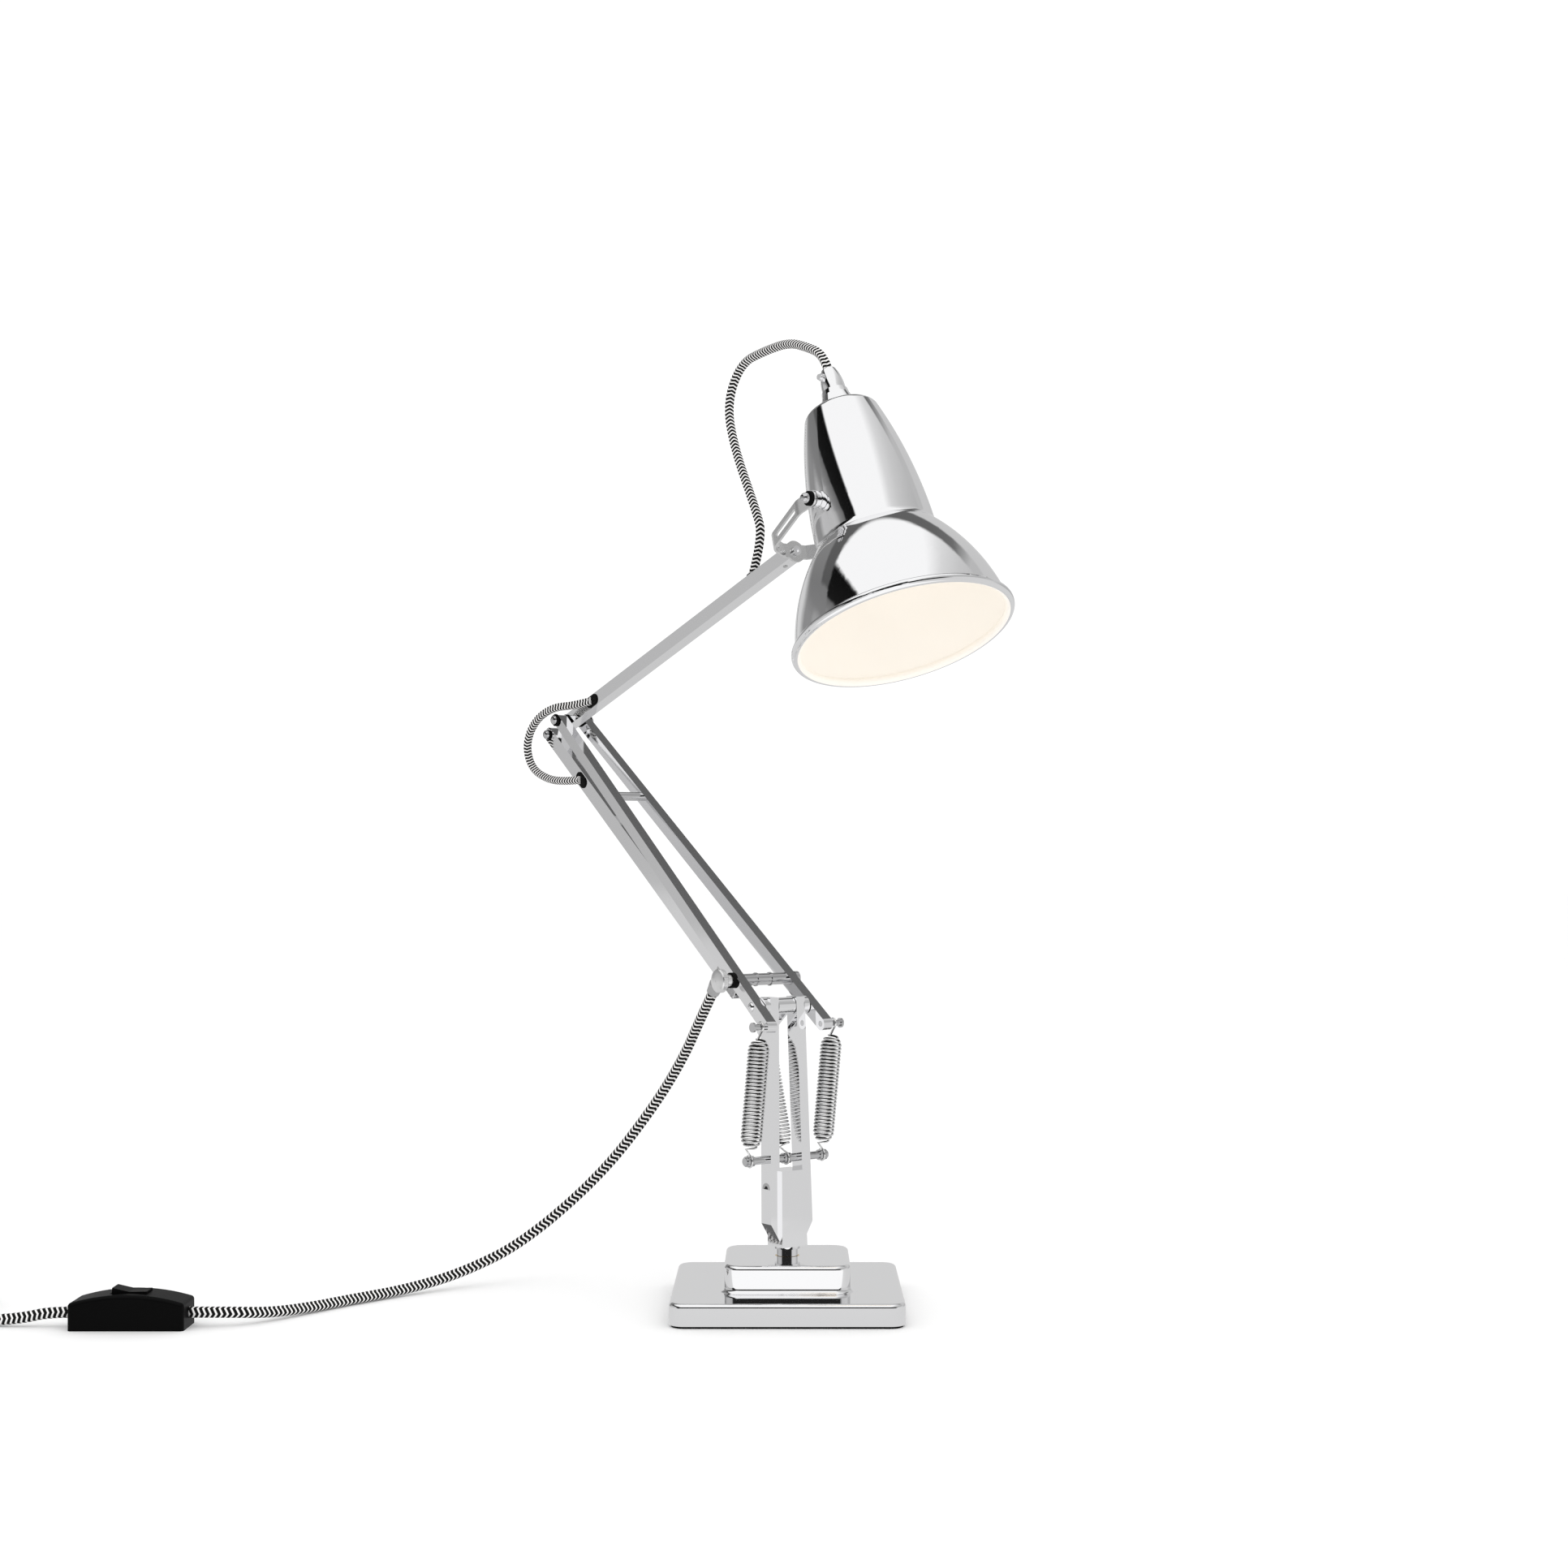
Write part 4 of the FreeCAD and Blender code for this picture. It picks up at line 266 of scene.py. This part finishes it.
class Nodes:
    """Short cuts for building a node tree."""

    # The Mix node's sockets for colours.
    MIX_A = 6
    MIX_B = 7
    MIX_RESULT = 2

    def __init__(self, owner):
        owner.use_nodes = True
        self.nodes = owner.node_tree.nodes
        self.links = owner.node_tree.links

    def node(self, kind, inputs=(), **settings):
        made = self.nodes.new(kind)
        for key, value in settings.items():
            setattr(made, key, value)
        for key, value in dict(inputs).items():
            if isinstance(value, bpy.types.NodeSocket):
                self.links.new(value, made.inputs[key])
            else:
                made.inputs[key].default_value = value
        return made

    def math(self, operation, a, b=0.0):
        return self.node("ShaderNodeMath", {0: a, 1: b}, operation=operation).outputs[0]

    def vector_math(self, operation, a, b=(0.0, 0.0, 0.0)):
        return self.node("ShaderNodeVectorMath", {0: a, 1: b}, operation=operation).outputs[0]

    def split(self, vector):
        return self.node("ShaderNodeSeparateXYZ", {0: vector}).outputs

    def coordinates(self, kind):
        return self.node("ShaderNodeTexCoord").outputs[kind]

    def seen_in_gloss(self):
        """1 for what a polished face reflects, 0 otherwise."""
        return self.node("ShaderNodeLightPath").outputs["Is Glossy Ray"]

    def noise(self, grain, stretch=(1.0, 1.0, 1.0)):
        scale, detail = grain
        stretched = {"Vector": self.coordinates("Object"), "Scale": stretch}
        place = self.node("ShaderNodeMapping", stretched).outputs[0]
        inputs = {"Vector": place, "Scale": scale, "Detail": detail}
        return self.node("ShaderNodeTexNoise", inputs).outputs["Fac"]

    def ramp(self, fac, low, high):
        """From low to high as fac goes from 0 to 1."""
        return self.node("ShaderNodeMapRange", {"Value": fac, "To Min": low, "To Max": high}).outputs[0]

    def step(self, fac, low, high):
        """0 below low and 1 above high, smooth between."""
        ends = {"Value": fac, "From Min": low, "From Max": high}
        return self.node("ShaderNodeMapRange", ends, interpolation_type="SMOOTHSTEP").outputs[0]

    def blend_colours(self, fac, a, b):
        """Each of a and b is a colour, a grey tone or a socket."""
        mix = self.node("ShaderNodeMix", data_type="RGBA")
        self.links.new(fac, mix.inputs[0])
        for place, value in ((self.MIX_A, a), (self.MIX_B, b)):
            if isinstance(value, bpy.types.NodeSocket):
                self.links.new(value, mix.inputs[place])
            elif isinstance(value, tuple):
                mix.inputs[place].default_value = (*value, 1)
            else:
                mix.inputs[place].default_value = (value, value, value, 1)
        return mix.outputs[self.MIX_RESULT]

    def tones(self, value, stops):
        """Grey tones given at rising values, with straight runs between them."""
        low = stops[0][0]
        high = stops[-1][0]
        fac = self.node("ShaderNodeMapRange", {"Value": value, "From Min": low, "From Max": high}).outputs[0]
        made = self.node("ShaderNodeValToRGB", {0: fac})
        elements = made.color_ramp.elements
        while len(elements) > 1:
            elements.remove(elements[-1])
        for i, (at, tone) in enumerate(stops):
            place = (at - low) / (high - low)
            element = elements[0] if i == 0 else elements.new(place)
            element.position = place
            element.color = (tone, tone, tone, 1)
        return made.outputs[0]


class Shader(Nodes):
    """A Principled material; its uniform values are given by name, with underscores for spaces."""

    def __init__(self, name, **values):
        self.material = bpy.data.materials.new(name)
        super().__init__(self.material)
        self.bsdf = self.nodes["Principled BSDF"]
        for key, value in values.items():
            socket = self.bsdf.inputs[key.replace("_", " ")]
            socket.default_value = (*value, 1.0) if isinstance(value, tuple) else value

    def set(self, key, socket):
        self.links.new(socket, self.bsdf.inputs[key])

    def bump(self, height, strength, depth):
        made = self.node("ShaderNodeBump", {"Height": height, "Strength": strength, "Distance": depth})
        self.set("Normal", made.outputs[0])


def chrome_material(name, tone, low, high, lean=0.0):
    """Polished plating with faint smears in its gloss; lean is the slope that its walls seem to have."""
    look = Shader(name, Base_Color=(tone, tone, tone * CHROME_BLUE), Metallic=1.0)
    look.set("Roughness", look.ramp(look.noise(SMEARS), low, high))
    if lean:
        normal = look.node("ShaderNodeNewGeometry").outputs["Normal"]
        raised = look.vector_math("ADD", normal, (0.0, 0.0, lean))
        look.set("Normal", look.vector_math("NORMALIZE", raised))
    return look.material


def satin_material(name, tone, rough, stretch):
    """Brushed metal with fine drawn lines."""
    look = Shader(name, Metallic=1.0)
    lines = look.noise(DRAWN_LINES, stretch)
    look.set("Base Color", look.blend_colours(lines, a=tone * 0.86, b=tone))
    look.set("Roughness", look.ramp(lines, low=rough * 0.8, high=rough * 1.25))
    look.bump(lines, strength=0.08, depth=0.0002)
    return look.material


def plastic_material(name, tone, low, high, grain):
    """Black moulded plastic or rubber with a fine grain."""
    look = Shader(name, Specular_IOR_Level=0.06)
    fac = look.noise(grain)
    look.set("Base Color", look.blend_colours(fac, a=tone * 0.8, b=tone * 1.3))
    look.set("Roughness", look.ramp(fac, low, high))
    look.bump(fac, strength=0.12, depth=0.0002)
    return look.material


def enamel_material():
    """Warm white stoved enamel inside the shade, with a faint painted glow standing in for the light of its
    bulb.
    """
    look = Shader("enamel", Roughness=0.32, Emission_Color=(1.0, 0.92, 0.82), Emission_Strength=0.11)
    clouds = look.noise(ENAMEL_CLOUDS)
    look.set("Base Color", look.blend_colours(clouds, (0.885, 0.848, 0.79), (0.905, 0.872, 0.82)))
    return look.material


def bulb_material():
    """A frosted bulb with a soft warm glow."""
    look = Shader("bulb_glow", Roughness=0.3, Base_Color=(0.95, 0.92, 0.86),
                  Emission_Color=(1.0, 0.90, 0.76), Emission_Strength=0.4)
    return look.material


def cast_material():
    """Rough cast iron."""
    look = Shader("cast_iron", Metallic=0.6)
    fac = look.noise(CAST_GRAIN)
    look.set("Base Color", look.blend_colours(fac, 0.03, 0.10))
    look.set("Roughness", look.ramp(fac, low=0.6, high=0.85))
    look.bump(fac, strength=0.4, depth=0.0006)
    return look.material


def brass_material():
    """Turned brass with faint stains."""
    look = Shader("brass", Metallic=1.0)
    fac = look.noise(BRASS_STAINS)
    look.set("Base Color", look.blend_colours(fac, (0.62, 0.44, 0.17), (0.78, 0.58, 0.26)))
    look.set("Roughness", look.ramp(fac, low=0.15, high=0.3))
    return look.material


def braid_material(name, pitch, rise):
    """Woven sleeve: black and white zigzag bands across the cord, from its UVs (turn, metres along)."""
    look = Shader(name, Sheen_Weight=0.05, Specular_IOR_Level=0.1, Roughness=0.9)
    uv = look.split(look.node("ShaderNodeUVMap", uv_map="along").outputs[0])
    turn = look.math("MULTIPLY", uv[0], BRAID_ZIGZAGS)
    zigzag = look.math("PINGPONG", turn, 0.5)
    along = look.math("DIVIDE", uv[1], pitch)
    band = look.math("FRACT", look.math("ADD", along, look.math("MULTIPLY", zigzag, 2 * rise / pitch)))
    centred = look.math("ABSOLUTE", look.math("SUBTRACT", band, 0.5))
    fuzz = look.noise(BRAID_FUZZ)
    white = look.blend_colours(fuzz, (0.80, 0.79, 0.78), (0.97, 0.96, 0.95))
    black = look.blend_colours(fuzz, 0.002, 0.01)
    look.set("Base Color", look.blend_colours(look.step(centred, *BRAID_EDGE), black, white))
    threads = look.math("SINE", look.math("MULTIPLY", turn, 2 * math.pi * BRAID_THREADS))
    ribs = look.math("SINE", look.math("MULTIPLY", along, 2 * math.pi * BRAID_RIBS))
    weave = look.math("MULTIPLY", threads, ribs)
    look.bump(look.math("ADD", weave, fuzz), strength=0.35, depth=0.00025)
    return look.material


CHROME = chrome_material("chrome", tone=0.90, low=0.025, high=0.055)
PRESSED = chrome_material("pressed_chrome", tone=0.90, low=0.025, high=0.055, lean=WALL_LEAN)
BAR_CHROME = chrome_material("bar_chrome", tone=0.86, low=0.05, high=0.10)
# A darker copy of the chrome, for the pins, sleeves, spacer, strap and spring rod set in among the mechanism:
# painted shade.
SHADED_CHROME = chrome_material("shaded_chrome", tone=0.60, low=0.04, high=0.09)
SATIN = satin_material("satin", tone=0.95, rough=0.30, stretch=(1.0, 1.0, 0.06))
YOKE_SATIN = satin_material("yoke_satin", tone=0.82, rough=0.22, stretch=(1.0, 1.0, 0.2))
SPRING = satin_material("spring_wire", tone=0.95, rough=0.24, stretch=(1.0, 1.0, 1.0))
# Painted shade for the insides of the spring coils.
SPRING_PAINTED_SHADE = satin_material("spring_painted_shade", tone=0.05, rough=0.40, stretch=(1.0, 1.0, 1.0))
STEEL = satin_material("steel", tone=0.6, rough=0.3, stretch=(1.0, 1.0, 0.3))
PLASTIC = plastic_material("black_plastic", tone=0.002, low=0.36, high=0.50, grain=PLASTIC_GRAIN)
RUBBER = plastic_material("black_rubber", tone=0.005, low=0.50, high=0.70, grain=RUBBER_GRAIN)
ENAMEL = enamel_material()
BULB = bulb_material()
IRON = cast_material()
BRASS = brass_material()
ARM_BRAID = braid_material("arm_braid", pitch=0.0027, rise=0.0015)
MAINS_BRAID = braid_material("mains_braid", pitch=0.0033, rise=0.0018)

FINISHES = (
    (CHROME, ("base_cover", "spindle", "post_block", "upright_near", "upright_far", "main_axle",
              "pivot_spacers", "spring_lever", "elbow_tongue", "head_plug", "yoke_screw", "shade",
              "shade_bell", "shade_rings", "neck_cup", "cord_grip")),
    (BAR_CHROME, ("lower_bar_near", "lower_bar_far", "link_tube", "upper_tube")),
    (SHADED_CHROME, ("spring_rod", "tie_shaft", "tie_sleeves", "top_spacer", "tail_pins", "link_strap", "elbow_pin",
              "link_pin", "shade_studs")),
    (STEEL, ("base_screws", "spindle_nut", "post_screws", "cord_gland", "arm_screw")),
    (SATIN, ("friction_knob",)),
    (YOKE_SATIN, ("yoke",)),
    (RUBBER, ("base_pad", "knob_washer", "link_grommet", "arm_grommet", "head_grommet", "elbow_washers",
              "stud_washers", "coil_tie")),
    (PLASTIC, ("lampholder", "switch_body", "switch_rocker", "plug_body")),
    (BRASS, ("swivel_bush", "plug_pins")),
    (IRON, ("base_weight",)),
    (BULB, ("bulb",)),
)


def dress_nodes():
    for material, names in FINISHES:
        for name in names:
            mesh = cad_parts[name].data
            mesh.materials.clear()
            mesh.materials.append(material)
            for face in mesh.polygons:
                face.material_index = 0


def press_tier():
    """The walls of the base cover's upper tier take the pressed plating."""
    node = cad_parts["base_cover"]
    node.data.materials.append(PRESSED)
    for face in node.data.polygons:
        height = (node.matrix_world @ face.center).z
        if height > TIER_FROM and abs(face.normal.z) < TIER_LEVEL:
            face.material_index = 1


def enamel_inside():
    """The shade's inner faces take the enamel."""
    axis = shared(*SHADE_AXIS)
    top = shared(*SHADE_TOP)
    for name in ("shade", "shade_bell"):
        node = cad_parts[name]
        node.data.materials.append(ENAMEL)
        for face in node.data.polygons:
            out = node.matrix_world @ face.center - top
            out = out - axis * out.dot(axis)
            normal = node.matrix_world.to_3x3() @ face.normal
            if normal.dot(out.normalized()) < ENAMEL_INWARDS:
                face.material_index = 1


# Tubes

def add_object(name, data):
    made = bpy.data.objects.new(name, data)
    bpy.context.scene.collection.objects.link(made)
    return made


def nurbs_line(points, steps):
    """Points along a smooth spline that has the given control points."""
    curve = bpy.data.curves.new("route", "CURVE")
    curve.dimensions = "3D"
    curve.resolution_u = steps
    spline = curve.splines.new("NURBS")
    spline.points.add(len(points) - 1)
    for at, p in zip(spline.points, points):
        at.co = (*p, 1.0)
    spline.order_u = 3
    spline.use_endpoint_u = True
    holder = add_object("route", curve)
    mesh = bpy.data.meshes.new_from_object(holder)
    line = [v.co.copy() for v in mesh.vertices]
    bpy.data.objects.remove(holder)
    bpy.data.meshes.remove(mesh)
    return line


def runs_along(line, start=0.0):
    """The length run at each point of a line."""
    runs = [start]
    for a, b in zip(line, line[1:]):
        runs.append(runs[-1] + (b - a).length)
    return runs


def headings(line):
    """The direction of a line at each of its points."""
    ahead = line[1:] + line[-1:]
    behind = line[:1] + line[:-1]
    return [(b - a).normalized() for a, b in zip(behind, ahead)]


def rings(line, r, sides, seam):
    """A tube's points, ring after ring, with the seam carried along without a twist."""
    points = []
    for p, heading in zip(line, headings(line)):
        seam = (seam - heading * seam.dot(heading)).normalized()
        up = heading.cross(seam)
        for k in range(sides):
            a = 2 * math.pi * k / sides
            points.append(tuple(p + (seam * math.cos(a) + up * math.sin(a)) * r))
    return points


def tube(name, line, r, sides, material, seam=None, start=0.0):
    """A closed round tube along a line, with UVs of turn and metres along, counted on from start."""
    if seam is None:
        seam = headings(line)[0].orthogonal().normalized()
    runs = runs_along(line, start)
    faces = []
    uvs = []
    for i in range(len(line) - 1):
        low = i * sides
        high = low + sides
        for k in range(sides):
            n = (k + 1) % sides
            faces.append((low + k, low + n, high + n, high + k))
            left = k / sides
            right = (k + 1) / sides
            uvs.extend([(left, runs[i]), (right, runs[i]), (right, runs[i + 1]), (left, runs[i + 1])])
    last = (len(line) - 1) * sides
    faces.append(tuple(reversed(range(sides))))
    faces.append(tuple(range(last, last + sides)))
    uvs.extend([(0.0, runs[0])] * sides + [(0.0, runs[-1])] * sides)
    mesh = bpy.data.meshes.new(name)
    mesh.from_pydata(rings(line, r, sides, seam), [], faces)
    layer = mesh.uv_layers.new(name="along")
    for loop, uv in zip(layer.data, uvs):
        loop.uv = uv
    for face in mesh.polygons:
        face.use_smooth = len(face.vertices) == 4
    mesh.materials.append(material)
    return add_object(name, mesh)


# Cords

def coil_place(turn):
    """A control point of the put-away coil: in on the floor, up, and out again on top."""
    middle = COIL_TURNS / 2
    inner = COIL_MID_R - COIL_PITCH * COIL_TURNS / 4
    outer = COIL_MID_R + COIL_PITCH * COIL_TURNS / 4
    r = (inner + COIL_PITCH * abs(turn - middle)) / math.cos(math.pi / COIL_POINTS)
    climb = min(1.0, max(0.0, (turn - middle) / COIL_CLIMB + 0.5))
    z = MAINS_R + COIL_LIFT + COIL_PITCH * climb * climb * (3 - 2 * climb)
    a = -math.pi / 2 - 2 * math.pi * turn
    centre_y = SWITCH_LEFT[1] + outer
    return (COIL_CENTRE_X + r * math.cos(a), centre_y + r * math.sin(a), z)


def make_lead():
    """The mains lead, which hangs from the lower arm's gland and lies on the table up to the switch."""
    line = nurbs_line([GLAND_END] + MAINS_ROUTE + [SWITCH_RIGHT], CORD_STEPS)
    lead = tube("mains_lead", line, MAINS_R, CORD_SIDES, MAINS_BRAID)
    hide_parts("cord_mains")
    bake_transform(lead)


def make_tail():
    """The mains cord from the switch through the coil to the plug."""
    turns = [k / COIL_POINTS for k in range(int(COIL_TURNS * COIL_POINTS) + 1)]
    points = [SWITCH_LEFT] + FEED_ROUTE + [coil_place(turn) for turn in turns]
    x, y, z = coil_place(COIL_TURNS)
    points.append((x, y + 2 * MAINS_R, z))
    line = nurbs_line(points, COIL_STEPS)
    tail = tube("mains_tail", line, MAINS_R, COIL_SIDES, MAINS_BRAID)
    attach(tail, "post")
    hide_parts("cord_feed", "cord_coil")


def make_elbow_loop():
    """The cord from the upper arm round the elbow into the link."""
    arm_seat = leaned(0, -TUBE_HALF - GROMMET_PROUD, ARM_HOLE_AT, UPPER_LEAN, ELBOW)
    link_seat = leaned(0, LINK_NEAR_FACE - GROMMET_PROUD, LINK_HOLE_AT, -LOWER_LEAN, LINK_FOOT)
    points = [shared(*p) for p in [arm_seat] + ELBOW_ROUTE + [link_seat]]
    line = nurbs_line(points, CORD_STEPS)
    loop = tube("elbow_loop", line, ARM_CORD_R, CORD_SIDES, ARM_BRAID)
    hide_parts("cord_elbow")
    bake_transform(loop)


def make_head_loop():
    """The cord from the upper arm over the yoke to the shade, in two lengths that meet at the split."""
    arm_seat = leaned(-TUBE_HALF - GROMMET_PROUD, 0, HEAD_HOLE_AT, UPPER_LEAN, ELBOW)
    loop_points = [ARM_END + Vector(p) for p in HEAD_ROUTE]
    line = nurbs_line([shared(*p) for p in [arm_seat] + loop_points + [SHADE_TOP]], CORD_STEPS)
    runs = runs_along(line)
    split = next(i for i, run in enumerate(runs) if run > HEAD_SPLIT * runs[-1])
    pieces = (
        ("head_loop_low", line[:split + 1], 0.0, "upper_arm", "yoke"),
        ("head_loop_high", line[split:], runs[split], "yoke", "shade"),
    )
    for name, part, start, body, next_body in pieces:
        made = tube(name, part, ARM_CORD_R, CORD_SIDES, ARM_BRAID, shared(0, 1, 0), start)
        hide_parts("cord_head")
        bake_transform(made)


# Springs

def spring_line(foot, head, mean_r):
    """Points along a tension spring with a round hook at each end, in the arms' frame."""
    axis = (head - foot).normalized()
    span = (head - foot).length
    side = Vector((0, 1, 0))
    across = side.cross(axis)
    foot_hook = ROD_R + HOOK_GAP + SPRING_WIRE / 2
    head_hook = PIN_R + HOOK_GAP + SPRING_WIRE / 2
    start_w = foot_hook + SPRING_REACH
    end_w = span - head_hook - SPRING_REACH
    pitch = (end_w - start_w) / SPRING_TURNS

    def place(a, b, w):
        return foot + across * a + side * b + axis * w

    def hook(degrees, w, r):
        a = math.radians(degrees)
        return place(r * math.cos(a), 0, w + r * math.sin(a))

    def helix(turn):
        taper = min(1.0, min(turn, SPRING_TURNS - turn) / SPRING_TAPER)
        r = SPRING_END_R + (mean_r - SPRING_END_R) * math.sin(taper * math.pi / 2)
        a = 2 * math.pi * turn
        return place(r * math.sin(a), -r * math.cos(a), start_w + pitch * turn)

    quarter = SPRING_STEPS // 4
    line = [hook(a, 0.0, foot_hook) for a in range(-HOOK_LAP, HOOK_TIP + 1, HOOK_STEP)]
    line.append(place(-BEND_ACROSS, -BEND_ASIDE, start_w - pitch * BEND_PITCHES))
    line += [helix(k / SPRING_STEPS) for k in range(quarter, SPRING_TURNS * SPRING_STEPS - quarter + 1)]
    line.append(place(BEND_ACROSS, -BEND_ASIDE, end_w + pitch * BEND_PITCHES))
    line += [hook(a, span, head_hook) for a in range(-HOOK_TIP, HOOK_LAP + 1, HOOK_STEP)]
    return line


def paint_spring_shade(spring, foot, head, shaded):
    """Paints shade on the wire where it faces outwards by less than the cosine shaded: the coils' insides
    take the dark painted-shade material.
    """
    spring.data.materials.append(SPRING_PAINTED_SHADE)
    axis = (head - foot).normalized()
    for face in spring.data.polygons:
        out = face.center - foot
        along = out.dot(axis)
        out = out - axis * along
        in_coils = SPRING_REACH < along < (head - foot).length - SPRING_REACH
        if in_coils and face.normal.dot(out.normalized()) < shaded:
            face.material_index = 1


def make_springs():
    """The outer springs pull on the lower arm's tail and the middle one on the lever."""
    tail = leaned(0, 0, -TAIL_LENGTH, -LOWER_LEAN, PIVOT)
    lever = PIVOT + CRANK_DIR * LEVER_REACH
    springs = (
        ("spring_near", -SPRING_SIDE, tail, OUTER_SPRING_R, OUTER_SHADED),
        ("spring_far", SPRING_SIDE, tail, OUTER_SPRING_R, OUTER_SHADED),
        ("spring_middle", 0.0, lever, MIDDLE_SPRING_R, MIDDLE_SHADED),
    )
    for node, y, pin, mean_r, shaded in springs:
        foot = ROD_AT + Vector((0, y, 0))
        head = pin + Vector((0, y, 0))
        line = [shared(*p) for p in spring_line(foot, head, mean_r)]
        made = tube(node + "_wire", line, SPRING_WIRE / 2, WIRE_SIDES, SPRING)
        # Painted shade on the wire's inward faces.
        paint_spring_shade(made, shared(*foot), shared(*head), shaded)
        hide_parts(node)
        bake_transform(made)


# Stage

def make_camera():
    data = bpy.data.cameras.new("camera")
    data.sensor_width = SENSOR_MM
    data.lens = SENSOR_MM * PHOTO_FOCAL / PHOTO_SIDE
    data.shift_x = (PHOTO_SIDE / 2 - PHOTO_PRINCIPAL[0]) / PHOTO_SIDE
    data.shift_y = (PHOTO_PRINCIPAL[1] - PHOTO_SIDE / 2) / PHOTO_SIDE
    camera = add_object("camera", data)
    camera.location = CAMERA_AT
    camera.rotation_euler = (math.pi / 2, 0, 0)
    bpy.context.scene.camera = camera


def floor_material():
    """White paper to the eye; in gloss, a painted reflection of the floor: a bright pool of light in front
    and painted shade round and behind the object.
    """
    look = Shader("floor", Roughness=0.9, Specular_IOR_Level=0.1)
    look.set("Base Color", look.blend_colours(look.noise(FLOOR_CLOUDS), *FLOOR_WHITES))
    x, y, _ = look.split(look.coordinates("Object"))
    beside = look.step(look.math("ABSOLUTE", x), *PAINTED_POOL_SIDE)
    tone = look.blend_colours(beside, look.tones(y, FLOOR_LIGHT_AND_SHADE), FLOOR_PAINTED_SHADE)
    # Painted reflection: the floor's painted light and shade, seen only in gloss.
    painted_reflection = look.node("ShaderNodeEmission", {"Color": tone}).outputs[0]
    layers = {0: look.seen_in_gloss(), 1: look.bsdf.outputs[0], 2: painted_reflection}
    seen = look.node("ShaderNodeMixShader", layers).outputs[0]
    look.links.new(seen, look.nodes["Material Output"].inputs[0])
    return look.material


def make_floor():
    mesh = bpy.data.meshes.new("floor")
    corners = [(x * FLOOR_HALF, y * FLOOR_HALF, 0) for x, y in ((-1, -1), (1, -1), (1, 1), (-1, 1))]
    mesh.from_pydata(corners, [], [(0, 1, 2, 3)])
    mesh.materials.append(floor_material())
    floor = add_object("floor", mesh)


def make_world():
    """White for the eye and for soft light; in gloss, a studio with one long white box overhead."""
    world = bpy.data.worlds.new("studio")
    bpy.context.scene.world = world
    sky = Nodes(world)
    x, y, z = sky.split(sky.coordinates("Generated"))
    height = sky.math("MAXIMUM", z, LEAST_RISE)
    across = sky.math("DIVIDE", x, height)
    ahead = sky.math("DIVIDE", y, height)
    over = sky.tones(across, OVERHEAD)
    over = sky.blend_colours(sky.step(ahead, *BOX_BACK), over, sky.tones(across, OVER_BACK))
    over = sky.blend_colours(sky.step(ahead, *FAR_BACK), over, sky.tones(across, OVER_FAR))
    over = sky.blend_colours(sky.step(ahead, *BOX_FRONT), OVER_FRONT, over)
    turn = sky.math("DEGREES", sky.math("ARCTAN2", x, sky.math("MULTIPLY", y, -1.0)))
    studio = sky.blend_colours(sky.step(z, *WALL_TOP), sky.tones(turn, AROUND), over)
    seen = sky.blend_colours(sky.seen_in_gloss(), EYE_WHITE, studio)
    sky.links.new(seen, sky.nodes["Background"].inputs[0])


def make_lights():
    for name, at, width, watts in LIGHTS:
        data = bpy.data.lights.new(name, "AREA")
        data.shape = "DISK"
        data.size = width
        data.energy = watts
        light = add_object(name, data)
        light.location = at
        light.rotation_euler = (LIGHTS_AIM - Vector(at)).to_track_quat("-Z", "Y").to_euler()
        light.visible_glossy = False


make_camera()
make_floor()
make_world()
make_lights()
dress_nodes()
press_tier()
enamel_inside()
make_lead()
make_tail()
make_elbow_loop()
make_head_loop()
make_springs()
bpy.context.scene.view_settings.view_transform = "Standard"
